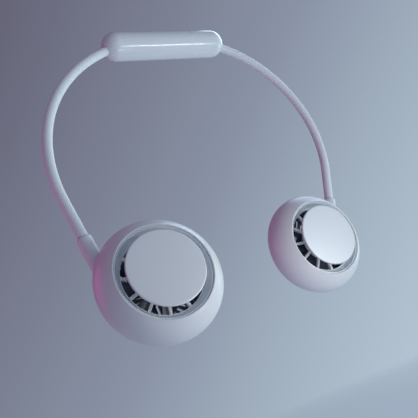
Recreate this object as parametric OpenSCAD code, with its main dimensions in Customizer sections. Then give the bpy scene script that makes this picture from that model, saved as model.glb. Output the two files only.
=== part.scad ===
// Electric neck fan: a battery capsule, two bendable arms and two swivelling fan heads.
// Millimetres, +Z up. The discs face -Y and the wearer's right-hand side of the picture is +X.
// The origin is on the underside of the capsule, half way along it, where it rests on the neck.

/* [Capsule] */
// Outer diameter of the capsule
capsule_d = 23.6; // [23.4:0.2:28]
// Length of the capsule over its round ends
capsule_len = 113.8; // [113:0.2:130]
// Wall of the capsule's two case halves
case_wall = 1.8; // [1.2:0.1:2]
// Angle of the case halves' upper seam, above the front
case_seam_angle = 52; // [45:1:70]
// Length of a case screw's thread
case_screw_len = 8.5; // [7:0.5:10]

/* [Battery and board] */
// Diameter of the round cell
cell_d = 18.4; // [17:0.1:18.6]
// Room for the cell's end contact, between the cell and the board
contact_room = 1.75; // [1:0.05:3]
// Thickness of the circuit board
board_t = 1.2; // [0.8:0.1:1.6]
// Width of the circuit board
board_w = 18.6; // [17.8:0.2:18.8]
// Distance of the board's button side from the capsule's axis
board_lift = 3; // [2.6:0.1:3.4]

/* [Power button] */
// Diameter of the round power button
button_d = 7.6; // [6:0.2:9]
// Distance from the capsule's end to the button's middle
button_in = 30.5; // [29:0.1:31]
// Angle of the button above the front
button_angle = 17; // [0:1:25]
// How far the button stands proud
button_proud = 0.25; // [0.1:0.05:0.4]
// Travel of the button
button_travel = 0.4; // [0.2:0.05:0.5]

/* [Charging socket] */
// Width of the charging socket's shell
socket_w = 8.9; // [8:0.1:9.5]
// Height of the charging socket's shell
socket_h = 3.2; // [2.8:0.1:3.4]
// Length of the charging socket's shell
socket_len = 7.4; // [6:0.1:8]
// Distance from the button's middle to the socket's middle, along the capsule
socket_pitch = 11.4; // [10:0.2:12]
// Diameter of the charging light
light_d = 1.8; // [1.2:0.2:2.2]

/* [Arms] */
// Outer diameter of the soft sleeve
sleeve_d = 7.3; // [6.6:0.1:8]
// Bore of the soft sleeve
sleeve_bore = 4.2; // [4:0.1:4.6]
// Angle at which an arm leaves the capsule, below its axis
leave_angle = 24.8; // [20:0.2:28]
// Length of an arm's curved stretch
arc_len = 162; // [130:1:180]
// Length of an arm's straight stretch, down to the middle of its head
straight_len = 76.5; // [72:0.5:100]
// Bend of the left arm's curve
left_bend = 73.4; // [60:0.2:90]
// Bend of the right arm's curve
right_bend = 86.4; // [60:0.2:90]
// Tilt of the left arm, forward when negative
left_tilt = -4.4; // [-15:0.2:15]
// Tilt of the right arm, forward when negative
right_tilt = 4.4; // [-15:0.2:15]
// Share of the curve at which the arm's flexing joint lies
flex_share = 0.42; // [0.3:0.02:0.6]
// Widest angle to which either flexing joint turns
flex_angle = 30; // [10:1:40]
// Diameter of the soft metal wire that holds the arm's shape
goose_d = 2; // [1.6:0.1:2.2]
// Diameter of each motor lead
lead_d = 1.2; // [0.8:0.1:1.2]

/* [Cuffs] */
// Diameter of the swivel cuff
cuff_d = 10.2; // [9:0.1:11]
// Height of the cuff's top above the head's rim
cuff_rise = 8.5; // [4:0.5:12]
// Radius of the cuff's shoulder
cuff_round = 2.4; // [1:0.1:2.6]
// Distance from the head's rim in to the cuff's axis
cuff_in = 13.5; // [11:0.1:15]
// Distance of the cuff's axis behind the middle of the head
cuff_back = 8.5; // [6:0.1:10]
// Distance of the cuff's pocket from the fan's duct
pocket_gap = 1.8; // [1.2:0.1:4]
// Diameter of the hollow pin below the cuff
pin_d = 6; // [5:0.1:6.4]
// Bore of the hollow pin
pin_bore = 4; // [3.9:0.1:4.2]
// Turn of the left head on its cuff
left_turn = -4.4; // [-90:0.2:90]
// Turn of the right head on its cuff
right_turn = -0.4; // [-90:0.2:90]

/* [Fan heads] */
// Diameter of a fan head
head_d = 80; // [78:1:90]
// Depth of a fan head
head_depth = 49.8; // [48:0.2:56]
// Wall of the head's two shells
head_wall = 2; // [1.6:0.1:2.2]
// Width of the front shell round its opening
rim_w = 10.4; // [9:0.1:12]
// Distance of the seam between the shells behind the middle of the head
seam_back = 9.5; // [9:0.1:10.5]
// Gap between the opening's edge and the front disc
disc_gap = 5.55; // [4.5:0.05:8]
// Height of the front disc's face above the middle of the head
disc_top = 21.2; // [20:0.1:24]
// Thickness of the front disc
disc_t = 1.9; // [1.2:0.1:2.4]
// Width of the bezel, from the opening's edge to its foot
bezel_w = 3.6; // [3.2:0.1:5]
// Height of the outlet grille's face above the middle of the head
outlet_z = 9.6; // [9:0.1:10.4]
// Diameter of the hub that carries the front disc
hub_d = 32; // [28:0.5:34]
// Number of ribs across the outlet
rib_count = 12; // [8:1:16]
// Width of each rib
rib_w = 1.9; // [1.2:0.1:2.4]
// Number of narrow intake slots round the shoulder
shoulder_slots = 36; // [24:1:44]
// Number of intake slots in the outer ring at the back
back_slots = 32; // [20:1:36]
// Width of the intake slots
slot_w = 1.7; // [1.2:0.1:2]

/* [Fans and motors] */
// Distance of the blade tips inside the bezel's foot
blade_inset = 1.4; // [1.2:0.1:2.4]
// Number of impeller blades
blade_count = 9; // [5:1:11]
// Angle of the blades from the impeller's plane
blade_angle = 38; // [30:1:50]
// Depth of the blades along the shaft
blade_depth = 9; // [7:0.5:9.4]
// Outer diameter of the impeller's cup
cup_d = 26; // [25.6:0.2:28]
// Outer diameter of the motor's steel rotor can
can_d = 23; // [22.4:0.2:23.2]
// Diameter of the motor shaft
shaft_d = 2; // [1.5:0.1:2]
// Outer diameter of the ball bearings
bearing_d = 6; // [5:0.1:6]
// Number of stator teeth
tooth_count = 9; // [6:3:9]

/* [Hidden] */
$fn = 96;

// Sides, clearances and counts used all over
left = 0;
right = 1;
overrun = 1;
snug_gap = 0.05;
run_gap = 0.05;
seat_gap = 0.1;
free_gap = 0.3;
curve_steps = 24;
corner_steps = 6;
cable_sides = 32;
bends = [left_bend, right_bend];
tilts = [left_tilt, right_tilt];
turns = [left_turn, right_turn];

// Capsule
capsule_r = capsule_d / 2;
case_r = capsule_r - case_wall;
end_x = capsule_len / 2 - capsule_r;
button_x = capsule_len / 2 - button_in;
split_angle = case_seam_angle - 90;
split_gap = 0.08;
screw_r = 0.95;
screw_head_r = 1.8;
screw_head_t = 1.2;
recess_w = 0.38;
screw_hole_r = screw_r + seat_gap;
boss_wall = 1.05;
case_screw_past = 2.8;
case_screw_x = end_x + case_screw_past;
case_screw_off = 3.2;
case_screw_seat = 5.4;
case_screw_bite = case_screw_len - case_screw_seat;

// Battery and board
contact_t = 0.4;
cell_left = -case_screw_x + screw_head_r + boss_wall + free_gap + contact_t + seat_gap;
cell_round = 0.6;
contact_w = 10;
contact_leg = 3.2;
strap_t = 0.3;
strap_w = 3;
strap_low = board_lift - board_t - seat_gap - strap_w;
board_x = button_x - button_d / 2 - seat_gap;
cell_len = board_x - contact_room - cell_left;
cell_right = cell_left + cell_len;
board_len = case_screw_x - screw_head_r - boss_wall - free_gap - board_x;
switch_w = 4.2;
switch_h = 1.9;
plunger_r = 1;
plunger_h = 0.7;
socket_x = button_x + socket_pitch;
socket_round = 1.2;
socket_shell_t = 0.3;
socket_tongue_t = 0.7;
socket_tongue_w = 6.2;
socket_inset = 0.6;
socket_mouth = capsule_r - socket_inset;
socket_back = socket_mouth - socket_len;
socket_z = board_lift - board_t - socket_h / 2 - seat_gap / 2;
light_r = light_d / 2;
light_len = 2.6;
light_flange = 0.6;
light_x = socket_x - socket_w / 2 - light_d - light_flange;

// Power button
button_r = button_d / 2;
button_gap = 0.15;
button_flange = 0.8;
button_flange_t = 0.9;
button_stem_r = 1.6;
button_seat = case_r + button_gap - seat_gap;
button_floor = board_lift + switch_h + plunger_h + button_travel + snug_gap;
button_pocket_r = button_r + button_flange + button_gap;

// Arms
sleeve_r = sleeve_d / 2;
bore_r = sleeve_bore / 2;
goose_r = goose_d / 2;
lead_r = lead_d / 2;
goose_gap = 0.12;
goose_off = bore_r - goose_r - goose_gap;
lead_gap = 0.45;
lead_off = bore_r - lead_r - lead_gap;
lead_part = 0.08;
lead_spread = lead_r + lead_part;
flex_spare = 0.5;
lap_len = 1;
lap_step = 0.03;
flex_gap = sleeve_d * tan(flex_angle / 2) + flex_spare;
ferrule_wall = 0.9;
ferrule_len = 2;
ferrule_r = sleeve_r + snug_gap + ferrule_wall;
ferrule_far = sqrt(pow(case_r - seat_gap, 2) - pow(ferrule_r, 2));
sleeve_tail = 0.4;
sleeve_start = ferrule_far - ferrule_len - sleeve_tail;
goose_tail = 0.8;
lead_tail = 1.8;
goose_seat = 8;
sleeve_seat = 8;
fold_drop = 4.2;
lead_step = 6;
lead_sides = 8;
lead_angle = 22;
lead_fan = 1.2;

// Radii of the head's rings, from its rim inwards
head_r = head_d / 2;
opening_r = head_r - rim_w;
outlet_r = opening_r - bezel_w;
impeller_r = outlet_r - blade_inset;
duct_gap = 0.6;
duct_wall = 1.2;
duct_r = impeller_r + duct_gap;
duct_out = duct_r + duct_wall;

// Cuffs: places from the middle of the head, then places down the arm's straight stretch
cuff_r = cuff_d / 2;
cuff_steps = 12;
cuff_gap = 0.3;
cuff_out = head_r - cuff_in;
cuff_top = head_r + cuff_rise;
pocket_floor = sqrt(pow(duct_out + pocket_gap, 2) - pow(cuff_out - cuff_r - cuff_gap, 2));
pin_r = pin_d / 2;
cuff_at = straight_len - cuff_top;
floor_at = straight_len - pocket_floor;
cuff_foot = floor_at - cuff_gap;
pin_press = 7;
floor_t = 1.5;
clip_t = 0.7;
clip_lip = 1.2;
clip_mouth = 2.6;
pin_tail = 0.4;
clip_at = floor_at + floor_t + seat_gap;
pin_foot = clip_at + clip_t + pin_tail;
groove_depth = 0.5;

// Fan heads
half_depth = head_depth / 2;
lip_r = 0.9;
lip_seat = 2.2;
lip_z = oval_z(opening_r + lip_r) - lip_r;
lip_shelf = 1.3;
flange_t = 0.9;
seam_gap = 0.5;
pocket_wall = 1.2;
boss_r = cuff_r + cuff_gap + pocket_wall;
post_r = 2.3;
post_in = 9.2;
post_out = head_r - post_in;
post_angles = [90, 210, 330];
post_clear_angle = 6;
post_drop = 1.6;
post_end = seam_back - post_drop;
lug_t = 1.2;
tongue_t = 1.05;
tongue_root = 0.5;
tongue_h = 1.5;
head_screw_sink = 2.7;
head_screw_seat = seam_back + head_screw_sink;
head_screw_len = 10;
bezel_t = 1.2;
bezel_drop = 0.4;
bezel_foot = outlet_z - bezel_drop;
grille_t = 2.1;
grille_lip = 0.6;
grille_rim = 0.5;
grille_flange = 1.2;
rib_turn = 18;
hub_r = hub_d / 2;
hub_wall = 1.5;
stem_h = 4.3;
hub_top = disc_top - disc_t - stem_h;
disc_r = opening_r - disc_gap;
disc_round = 0.8;
disc_boss_in = 0.5;
disc_boss_r = hub_r - disc_boss_in;
peg_r = 1.3;
peg_share = 0.55;
peg_out = hub_r * peg_share;
peg_len = 3;
shoulder_in_share = 0.76;
shoulder_in = head_r * shoulder_in_share;
shoulder_drop = 1.4;
shoulder_top = seam_back + shoulder_drop;
shoulder_skip_from = 28;
shoulder_skip_to = 66;
back_out_share = 0.665;
back_mid_share = 0.43;
back_step_share = 0.055;
back_in_share = 0.19;
back_ring_out = head_r * back_out_share;
back_ring_mid = head_r * back_mid_share;
back_ring_step = head_r * back_step_share;
back_ring_in = head_r * back_in_share;

// Fans and motors
frame_back = seam_back - 0.4;
base_t = 1.4;
base_r = can_d / 2;
spoke_w = 2.6;
spoke_count = 4;
frame_top = outlet_z - grille_t - seat_gap;
bearing_r = bearing_d / 2;
bearing_w = 2.3;
tube_wall = 0.95;
tube_top = 0.8;
shaft_r = shaft_d / 2;
blade_t = 1.1;
blade_low = -4.4;
cup_r = cup_d / 2;
cup_wall = 1.2;
cup_top = 5.8;
cup_low = blade_low - 0.8;
can_wall = 0.7;
can_top = cup_top - cup_wall - seat_gap;
magnet_t = 1.4;
magnet_len = 7;
air_gap = 0.4;
magnet_in = can_d / 2 - can_wall - snug_gap - magnet_t;
stator_r = magnet_in - air_gap;
stator_low = -4;
stator_len = 5;
tooth_w = 1.3;
shoe_t = 0.8;
yoke_t = 1;
coil_t = 0.75;
coil_gap = 0.08;
motor_board_t = 0.8;
tube_r = bearing_r + run_gap + tube_wall;
tube_floor = base_t / 2 - frame_back;
bearing_step = 0.8;
can_low = can_top - can_wall - seat_gap - magnet_len;
motor_board_r = base_r - 1;

// Oval of the head's section: radius at a height, and height at a radius, both drawn in by an inset
function oval_r(z, inset = 0) = (head_r - inset) * sqrt(1 - pow(z / (half_depth - inset), 2));
function oval_z(r, inset = 0) = (half_depth - inset) * sqrt(1 - pow(r / (head_r - inset), 2));

// Points of the oval between two heights
function oval_points(z_from, z_to, inset = 0) =
    let (c = half_depth - inset, a = head_r - inset)
    let (from = asin(z_from / c), to = asin(z_to / c))
    [for (i = [0:curve_steps]) let (t = from + (to - from) * i / curve_steps) [a * cos(t), c * sin(t)]];

// Radius of an arm's curve
function curve_r(side) = arc_len / (bends[side] * PI / 180);

// Everything that belongs to the capsule, with the origin on its axis
module in_capsule() {
    translate([0, 0, capsule_r])
        children();
}

// A frame on the capsule's axis whose +Z points outward at an angle above the front
module facing(angle) {
    in_capsule()
        rotate([90 - angle, 0, 0])
            children();
}

// A capsule along X
module capsule_solid(r) {
    rotate([0, 90, 0])
        union() {
            translate([0, 0, -end_x])
                cylinder(r = r, h = 2 * end_x);
            translate([0, 0, -end_x])
                sphere(r = r);
            translate([0, 0, end_x])
                sphere(r = r);
        }
}

// The arm's plane, drawn as for the right arm and mirrored for the left one
module arm_plane(side) {
    in_capsule()
        rotate([tilts[side], 0, 0])
            mirror([side == left ? 1 : 0, 0, 0])
                children();
}

// A frame at the ball centre of the capsule's end: +Z along the arm, +X towards the loop's inside
module arm_root(side) {
    arm_plane(side)
        translate([end_x, 0, 0])
            rotate([0, 90 + leave_angle, 0])
                children();
}

// A frame on the arm's curve at a share of its length
module on_curve(side, share) {
    arm_root(side)
        translate([curve_r(side), 0, capsule_r])
            rotate([0, bends[side] * share, 0])
                translate([-curve_r(side), 0, 0])
                    children();
}

// A stretch of tube or rod along the arm's curve, in the frame of its first point
module along_curve(side, length, off = 0) {
    bend_r = curve_r(side);
    translate([bend_r, 0, 0])
        mirror([1, 0, 0])
            rotate([90, 0, 0])
                rotate_extrude(angle = length / bend_r * 180 / PI)
                    translate([bend_r - off, 0])
                        children();
}

// The sleeve's section, with its wall drawn in on both sides where one stretch laps into the next
module sleeve_section(inset = 0) {
    difference() {
        circle(r = sleeve_r - inset, $fn = cable_sides);
        circle(r = bore_r + inset, $fn = cable_sides);
    }
}

// The head's frame: +Z forward, +Y up along the cuff and +X away from the loop's inside
module in_head(side) {
    on_curve(side, 1)
        translate([0, 0, straight_len])
            rotate([0, 0, turns[side]])
                translate([cuff_out, -cuff_back, 0])
                    rotate([-90, 0, 180])
                        children();
}

// A cylinder on the cuff's axis in the head's frame, from one height to another
module on_cuff_axis(r, low, high) {
    translate([cuff_out, low, -cuff_back])
        rotate([-90, 0, 0])
            cylinder(r = r, h = high - low);
}

// A solid of the head's whole outer shape, drawn in by an inset
module head_solid(inset = 0) {
    c = half_depth - inset;
    rotate_extrude()
        polygon(concat([[0, -c]], oval_points(-c, c, inset), [[0, c]]));
}

// A ring of revolution between two radii and two heights
module ring(r_in, r_out, low, high) {
    translate([0, 0, low])
        difference() {
            cylinder(r = r_out, h = high - low);
            translate([0, 0, -overrun])
                cylinder(r = r_in, h = high - low + 2 * overrun);
        }
}

// Half of the capsule's shell, before its openings
module case_half(front) {
    intersection() {
        in_capsule()
            difference() {
                capsule_solid(capsule_r);
                capsule_solid(case_r);
            }
        facing(split_angle)
            translate([-capsule_len, -capsule_d, front ? split_gap / 2 : -capsule_d - split_gap / 2])
                cube([2 * capsule_len, 2 * capsule_d, capsule_d]);
    }
}

// The holes where both arms enter the case
module arm_holes() {
    for (side = [left, right])
        arm_root(side)
            cylinder(r = sleeve_r + snug_gap, h = capsule_d);
}

// A case screw boss, clipped to the capsule
module case_boss(front, r) {
    intersection() {
        in_capsule()
            capsule_solid(capsule_r);
        facing(split_angle)
            for (x = [-case_screw_x, case_screw_x])
                translate([x, case_screw_off, front ? split_gap / 2 : -capsule_r - split_gap / 2])
                    cylinder(r = r, h = capsule_r);
    }
}

module case_front() {
    color("white")
        difference() {
            union() {
                case_half(true);
                case_boss(true, screw_r + boss_wall);
            }
            arm_holes();
            facing(split_angle)
                for (x = [-case_screw_x, case_screw_x])
                    translate([x, case_screw_off, -overrun])
                        cylinder(r = screw_r + snug_gap, h = case_screw_bite + seat_gap + overrun);
            facing(button_angle) {
                translate([button_x, 0, case_r - button_flange_t])
                    cylinder(r = button_r + button_gap, h = capsule_r);
                translate([button_x, 0, board_lift])
                    cylinder(r = button_pocket_r, h = case_r - board_lift + button_gap);
            }
        }
}

module case_rear() {
    color("white")
        difference() {
            union() {
                case_half(false);
                case_boss(false, screw_head_r + boss_wall);
            }
            arm_holes();
            facing(split_angle)
                for (x = [-case_screw_x, case_screw_x])
                    translate([x, case_screw_off, 0])
                        rotate([180, 0, 0]) {
                            translate([0, 0, -overrun])
                                cylinder(r = screw_hole_r, h = capsule_r);
                            translate([0, 0, case_screw_seat])
                                cylinder(r = screw_head_r + seat_gap, h = capsule_r);
                        }
            facing(button_angle) {
                translate([socket_x, 0, socket_z])
                    socket_prism(seat_gap + snug_gap, 0, capsule_r + overrun);
                translate([light_x, 0, 0])
                    rotate([-90, 0, 0])
                        cylinder(r = light_r + snug_gap, h = capsule_r + overrun);
            }
        }
}

module case_screws() {
    color("silver")
        facing(split_angle)
            for (x = [-case_screw_x, case_screw_x])
                translate([x, case_screw_off, -case_screw_seat])
                    screw(case_screw_len);
}

// A pan-head screw: head below z = 0, thread above it, with a cross recess
module screw(length) {
    difference() {
        union() {
            translate([0, 0, -screw_head_t])
                cylinder(r = screw_head_r, h = screw_head_t);
            cylinder(r = screw_r, h = length);
        }
        for (turn = [0, 90])
            rotate([0, 0, turn])
                translate([-screw_r, -recess_w / 2, -screw_head_t - overrun])
                    cube([2 * screw_r, recess_w, overrun + screw_head_t / 2]);
    }
}

module battery_cell() {
    color("royalblue")
        in_capsule()
            translate([cell_left, 0, 0])
                rotate([0, 90, 0])
                    rotate_extrude()
                        polygon([
                            [0, 0],
                            [cell_d / 2 - cell_round, 0],
                            [cell_d / 2, cell_round],
                            [cell_d / 2, cell_len - cell_round],
                            [cell_d / 2 - cell_round, cell_len],
                            [0, cell_len]
                        ]);
}

// Two end plates: one with a strap along the cell and one with a leg, both to the board's underside
module battery_contacts() {
    under_board = board_lift - board_t - seat_gap;
    color("gold")
        facing(button_angle) {
            translate([cell_left - seat_gap - contact_t, -contact_w / 2, strap_low])
                cube([contact_t, cell_d / 2 + seat_gap + strap_t + contact_w / 2, strap_w]);
            translate([cell_left - seat_gap - contact_t, cell_d / 2 + seat_gap, strap_low])
                cube([board_x + contact_leg - cell_left, strap_t, strap_w]);
            translate([cell_right + seat_gap, -contact_w / 2, -contact_w / 2])
                cube([contact_t, contact_w, contact_w / 2 + under_board]);
            translate([cell_right + seat_gap, -contact_w / 2, under_board - contact_t])
                cube([contact_leg, contact_w, contact_t]);
        }
}

module main_board() {
    color("seagreen")
        facing(button_angle)
            translate([board_x, -board_w / 2, board_lift - board_t])
                cube([board_len, board_w, board_t]);
}

module tact_switch() {
    color("dimgray")
        facing(button_angle)
            translate([button_x, 0, board_lift + seat_gap / 2]) {
                translate([-switch_w / 2, -switch_w / 2, 0])
                    cube([switch_w, switch_w, switch_h - seat_gap / 2]);
                cylinder(r = plunger_r, h = switch_h + plunger_h - seat_gap / 2);
            }
}

// A flat-sided prism with round ends, along +Y between two distances
module socket_prism(grow, from, to) {
    half_w = socket_w / 2 - socket_round;
    half_h = socket_h / 2 - socket_round;
    translate([0, to, 0])
        rotate([90, 0, 0])
            linear_extrude(to - from)
                union() {
                    square([2 * half_w, socket_h + 2 * grow], center = true);
                    square([socket_w + 2 * grow, 2 * half_h], center = true);
                    for (x = [-half_w, half_w], z = [-half_h, half_h])
                        translate([x, z])
                            circle(r = socket_round + grow, $fn = cable_sides);
                }
}

module usb_socket() {
    color("silver")
        facing(button_angle)
            translate([socket_x, 0, socket_z]) {
                difference() {
                    socket_prism(0, socket_back, socket_mouth);
                    socket_prism(-socket_shell_t, socket_back + overrun, socket_mouth + overrun);
                }
                translate([-socket_tongue_w / 2, socket_back + overrun / 2, -socket_tongue_t / 2])
                    cube([socket_tongue_w, socket_len - overrun, socket_tongue_t]);
            }
}

module charge_light() {
    color("honeydew")
        facing(button_angle)
            translate([light_x, 0, 0])
                rotate([-90, 0, 0])
                    intersection() {
                        translate([0, 0, case_r - light_len]) {
                            cylinder(r = light_r, h = light_len + case_wall + overrun);
                            cylinder(r = light_r + light_flange, h = light_len - seat_gap - light_flange);
                        }
                        rotate([0, 90, 0])
                            cylinder(r = capsule_r, h = capsule_len, center = true);
                    }
}

module power_button() {
    color("white")
        facing(button_angle)
            translate([button_x, 0, 0])
                intersection() {
                    union() {
                        translate([0, 0, button_seat - button_flange_t])
                            cylinder(r = button_r, h = capsule_r);
                        translate([0, 0, button_seat - button_flange_t])
                            cylinder(r = button_r + button_flange, h = button_flange_t);
                        translate([0, 0, button_floor])
                            cylinder(r = button_stem_r, h = button_seat - button_floor);
                    }
                    rotate([0, 90, 0])
                        cylinder(r = capsule_r + button_proud, h = capsule_len, center = true);
                }
}

module sleeve_root(side) {
    color("white")
        union() {
            arm_root(side)
                translate([0, 0, sleeve_start])
                    linear_extrude(capsule_r + lap_len - sleeve_start)
                        sleeve_section(lap_step);
            on_curve(side, 0)
                along_curve(side, arc_len * flex_share - flex_gap / 2)
                    sleeve_section();
        }
}

module sleeve_bend(side) {
    color("white")
        on_curve(side, flex_share + flex_gap / 2 / arc_len)
            along_curve(side, arc_len * (1 - flex_share) - flex_gap)
                sleeve_section();
}

module sleeve_end(side) {
    color("white")
        on_curve(side, 1)
            translate([0, 0, flex_gap / 2])
                linear_extrude(cuff_at + sleeve_seat - flex_gap / 2)
                    sleeve_section();
}

module gooseneck(side) {
    root_at = sleeve_start - goose_tail;
    end_at = cuff_at + sleeve_seat + goose_seat;
    color("silver")
        union() {
            arm_root(side)
                translate([-goose_off, 0, root_at])
                    cylinder(r = goose_r - lap_step, h = capsule_r + lap_len - root_at, $fn = cable_sides);
            on_curve(side, 0)
                along_curve(side, arc_len, -goose_off)
                    circle(r = goose_r, $fn = cable_sides);
            on_curve(side, 1)
                translate([-goose_off, 0, -lap_len])
                    cylinder(r = goose_r - lap_step, h = end_at + lap_len, $fn = cable_sides);
        }
}

// A point given in the frame of a place on the curve, brought into the arm root's frame
function from_curve(side, share, p) =
    let (a = bends[side] * share, c = curve_r(side))
    [c + (p[0] - c) * cos(a) + p[2] * sin(a), p[1], capsule_r - (p[0] - c) * sin(a) + p[2] * cos(a)];

// A point given in the head's frame, brought into the arm root's frame
function from_head(side, p) =
    let (x = cuff_out - p[0], y = -cuff_back - p[2], a = turns[side])
    from_curve(side, 1, [x * cos(a) - y * sin(a), x * sin(a) + y * cos(a), straight_len - p[1]]);

// The route of one lead: through the arm and the hollow pin, behind the duct and up to the motor board
function lead_route(side, way) =
    let (steps = round(arc_len / lead_step), aside = way * lead_spread)
    let (low = straight_len - pin_foot, behind = -frame_back - lead_r - lead_r - free_gap)
    let (end_r = motor_board_r - lead_r, board_top = -frame_back + base_t + motor_board_t + 2 * seat_gap)
    concat(
        [[lead_off, aside, sleeve_start - lead_tail]],
        [for (i = [0:steps]) from_curve(side, i / steps, [lead_off, aside, 0])],
        [from_curve(side, 1, [lead_off, aside, pin_foot])],
        [
            from_head(side, [cuff_out - lead_off, low - fold_drop, behind - aside]),
            from_head(side, [(end_r + cuff_out) / 2, low / 2, behind - aside]),
            for (r = [motor_board_r + lead_d, end_r])
                let (across = r * sin(lead_angle) - way * lead_fan)
                    from_head(side, [r * cos(lead_angle), across, board_top + lead_r])
        ]
    );

// A closed flat-faced tube along a route, with its rings turned about a direction across the route
module tube_along(route, r, across) {
    last = len(route) - 1;
    rings = [
        for (i = [0:last])
            let (dir = route[min(i + 1, last)] - route[max(i - 1, 0)])
            let (u = cross(across, dir) / norm(cross(across, dir)), v = cross(dir, u) / norm(dir))
            for (k = [0:lead_sides - 1])
                let (a = 360 * k / lead_sides)
                route[i] + r * (cos(a) * u + sin(a) * v)
    ];
    walls = [
        for (i = [0:last - 1], k = [0:lead_sides - 1])
            let (here = i * lead_sides, there = here + lead_sides, next = (k + 1) % lead_sides)
            [there + k, there + next, here + next, here + k]
    ];
    ends = [
        [for (k = [0:lead_sides - 1]) k],
        [for (k = [0:lead_sides - 1]) last * lead_sides + lead_sides - 1 - k]
    ];
    polyhedron(points = rings, faces = concat(walls, ends));
}

module motor_leads(side) {
    color("firebrick")
        arm_root(side)
            for (way = [-1, 1])
                tube_along(lead_route(side, way), lead_r, [0, 1, 0]);
}

module arm_ferrule(side) {
    color("silver")
        arm_root(side)
            ring(sleeve_r + snug_gap, ferrule_r, ferrule_far - ferrule_len, ferrule_far);
}

module cuff(side) {
    color("white")
        on_curve(side, 1)
            difference() {
                rotate_extrude()
                    polygon(concat(
                        [[0, cuff_foot], [0, cuff_at]],
                        [for (t = [0:cuff_steps]) let (a = 90 * t / cuff_steps)
                            [cuff_r - cuff_round * (1 - sin(a)), cuff_at + cuff_round * (1 - cos(a))]],
                        [[cuff_r, cuff_foot]]
                    ));
                translate([0, 0, cuff_at - overrun])
                    cylinder(r = sleeve_r + snug_gap, h = sleeve_seat + seat_gap + overrun);
                translate([0, 0, cuff_at])
                    cylinder(r = bore_r, h = cuff_foot - cuff_at + overrun);
                translate([0, 0, cuff_foot - pin_press])
                    cylinder(r = pin_r + snug_gap, h = pin_press + overrun);
            }
}

module swivel_pin(side) {
    color("silver")
        on_curve(side, 1)
            difference() {
                translate([0, 0, cuff_foot - pin_press + snug_gap])
                    cylinder(r = pin_r, h = pin_foot - cuff_foot + pin_press - snug_gap);
                translate([0, 0, cuff_foot - pin_press - overrun])
                    cylinder(r = pin_bore / 2, h = pin_foot - cuff_foot + pin_press + 2 * overrun);
                translate([0, 0, clip_at - snug_gap])
                    ring(pin_r - groove_depth, pin_r + overrun, 0, clip_t + 2 * snug_gap);
            }
}

module pin_clip(side) {
    color("dimgray")
        on_curve(side, 1)
            difference() {
                ring(pin_r - groove_depth + snug_gap, pin_r + clip_lip, clip_at, clip_at + clip_t);
                translate([-capsule_d, -clip_mouth / 2, clip_at - overrun])
                    cube([capsule_d, clip_mouth, clip_t + 2 * overrun]);
            }
}

// Three places round the head's axis, one for each screw
module at_posts(z) {
    for (angle = post_angles)
        rotate([0, 0, angle])
            translate([post_out, 0, z])
                children();
}

// The boss round the swivel cuff's pocket, inside the head's wall and clear of the fan's duct
module cuff_boss() {
    difference() {
        intersection() {
            on_cuff_axis(boss_r, pocket_floor - floor_t, head_r);
            head_solid(head_wall / 2);
        }
        translate([0, 0, -head_r])
            cylinder(r = duct_out + free_gap, h = 2 * head_r);
    }
}

// The pocket that the cuff turns in, and the hole for its pin
module cuff_pocket() {
    on_cuff_axis(cuff_r + cuff_gap, pocket_floor, head_r + overrun);
    on_cuff_axis(pin_r + run_gap, pocket_floor - floor_t - overrun, pocket_floor + overrun);
    on_cuff_axis(pin_r + clip_lip + free_gap, straight_len - pin_foot - free_gap, pocket_floor - floor_t);
}

module front_shell(side) {
    bezel_clear_r = opening_r + lip_shelf + free_gap;
    seam_in = oval_r(seam_back, head_wall) + tongue_t + seat_gap;
    color("white")
        in_head(side)
            difference() {
                union() {
                    difference() {
                        rotate_extrude()
                            polygon(concat(
                                oval_points(-seam_back, lip_z + lip_r),
                                [for (t = [0:corner_steps]) let (a = 90 + 90 * t / corner_steps)
                                    [opening_r + lip_r + lip_r * cos(a), lip_z + lip_r * sin(a)]],
                                [[opening_r, lip_z - lip_seat]],
                                oval_points(lip_z - lip_seat, -seam_back, head_wall)
                            ));
                        translate([0, 0, -seam_back - overrun])
                            cylinder(r = seam_in, h = tongue_h + seat_gap + overrun);
                    }
                    difference() {
                        cuff_boss();
                        translate([-head_r, -head_r, -seam_back - 2 * head_r + split_gap / 2])
                            cube(2 * head_r);
                    }
                    intersection() {
                        at_posts(-post_end)
                            cylinder(r = post_r, h = head_r);
                        head_solid(head_wall / 2);
                        translate([0, 0, -head_r])
                            cylinder(r = head_r, h = head_r + lip_z - lip_seat);
                    }
                }
                translate([0, 0, bezel_foot])
                    cylinder(r = bezel_clear_r, h = lip_z - lip_seat - bezel_foot);
                cuff_pocket();
                at_posts(-post_end - overrun)
                    cylinder(r = screw_r + snug_gap, h = head_screw_len + overrun);
            }
}

// The rear shell's intake: narrow slots round the shoulder and two rings of slots at the back
module intake_slots() {
    for (i = [0:shoulder_slots - 1])
        let (angle = i * 360 / shoulder_slots)
            if (open_at(angle))
                rotate([0, 0, angle])
                    translate([shoulder_in, -slot_w / 2, -half_depth])
                        cube([head_r, slot_w, half_depth - shoulder_top]);
    slot_ring(back_slots, back_ring_mid + back_ring_step / 2, back_ring_out);
    slot_ring(back_slots / 2, back_ring_in, back_ring_mid - back_ring_step / 2);
}

// One ring of slots through the back, between two radii
module slot_ring(count, r_in, r_out) {
    for (i = [0:count - 1])
        rotate([0, 0, (i + 1 / 2) * 360 / count])
            translate([r_in, -slot_w / 2, -half_depth - overrun])
                cube([r_out - r_in, slot_w, half_depth / 2]);
}

// Whether a shoulder slot is cut at an angle: none at the screw posts or at the cuff's pocket
function open_at(angle) =
    min([for (post = post_angles) abs(angle - post)]) > post_clear_angle
    && (angle < shoulder_skip_from || angle > shoulder_skip_to);

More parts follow.
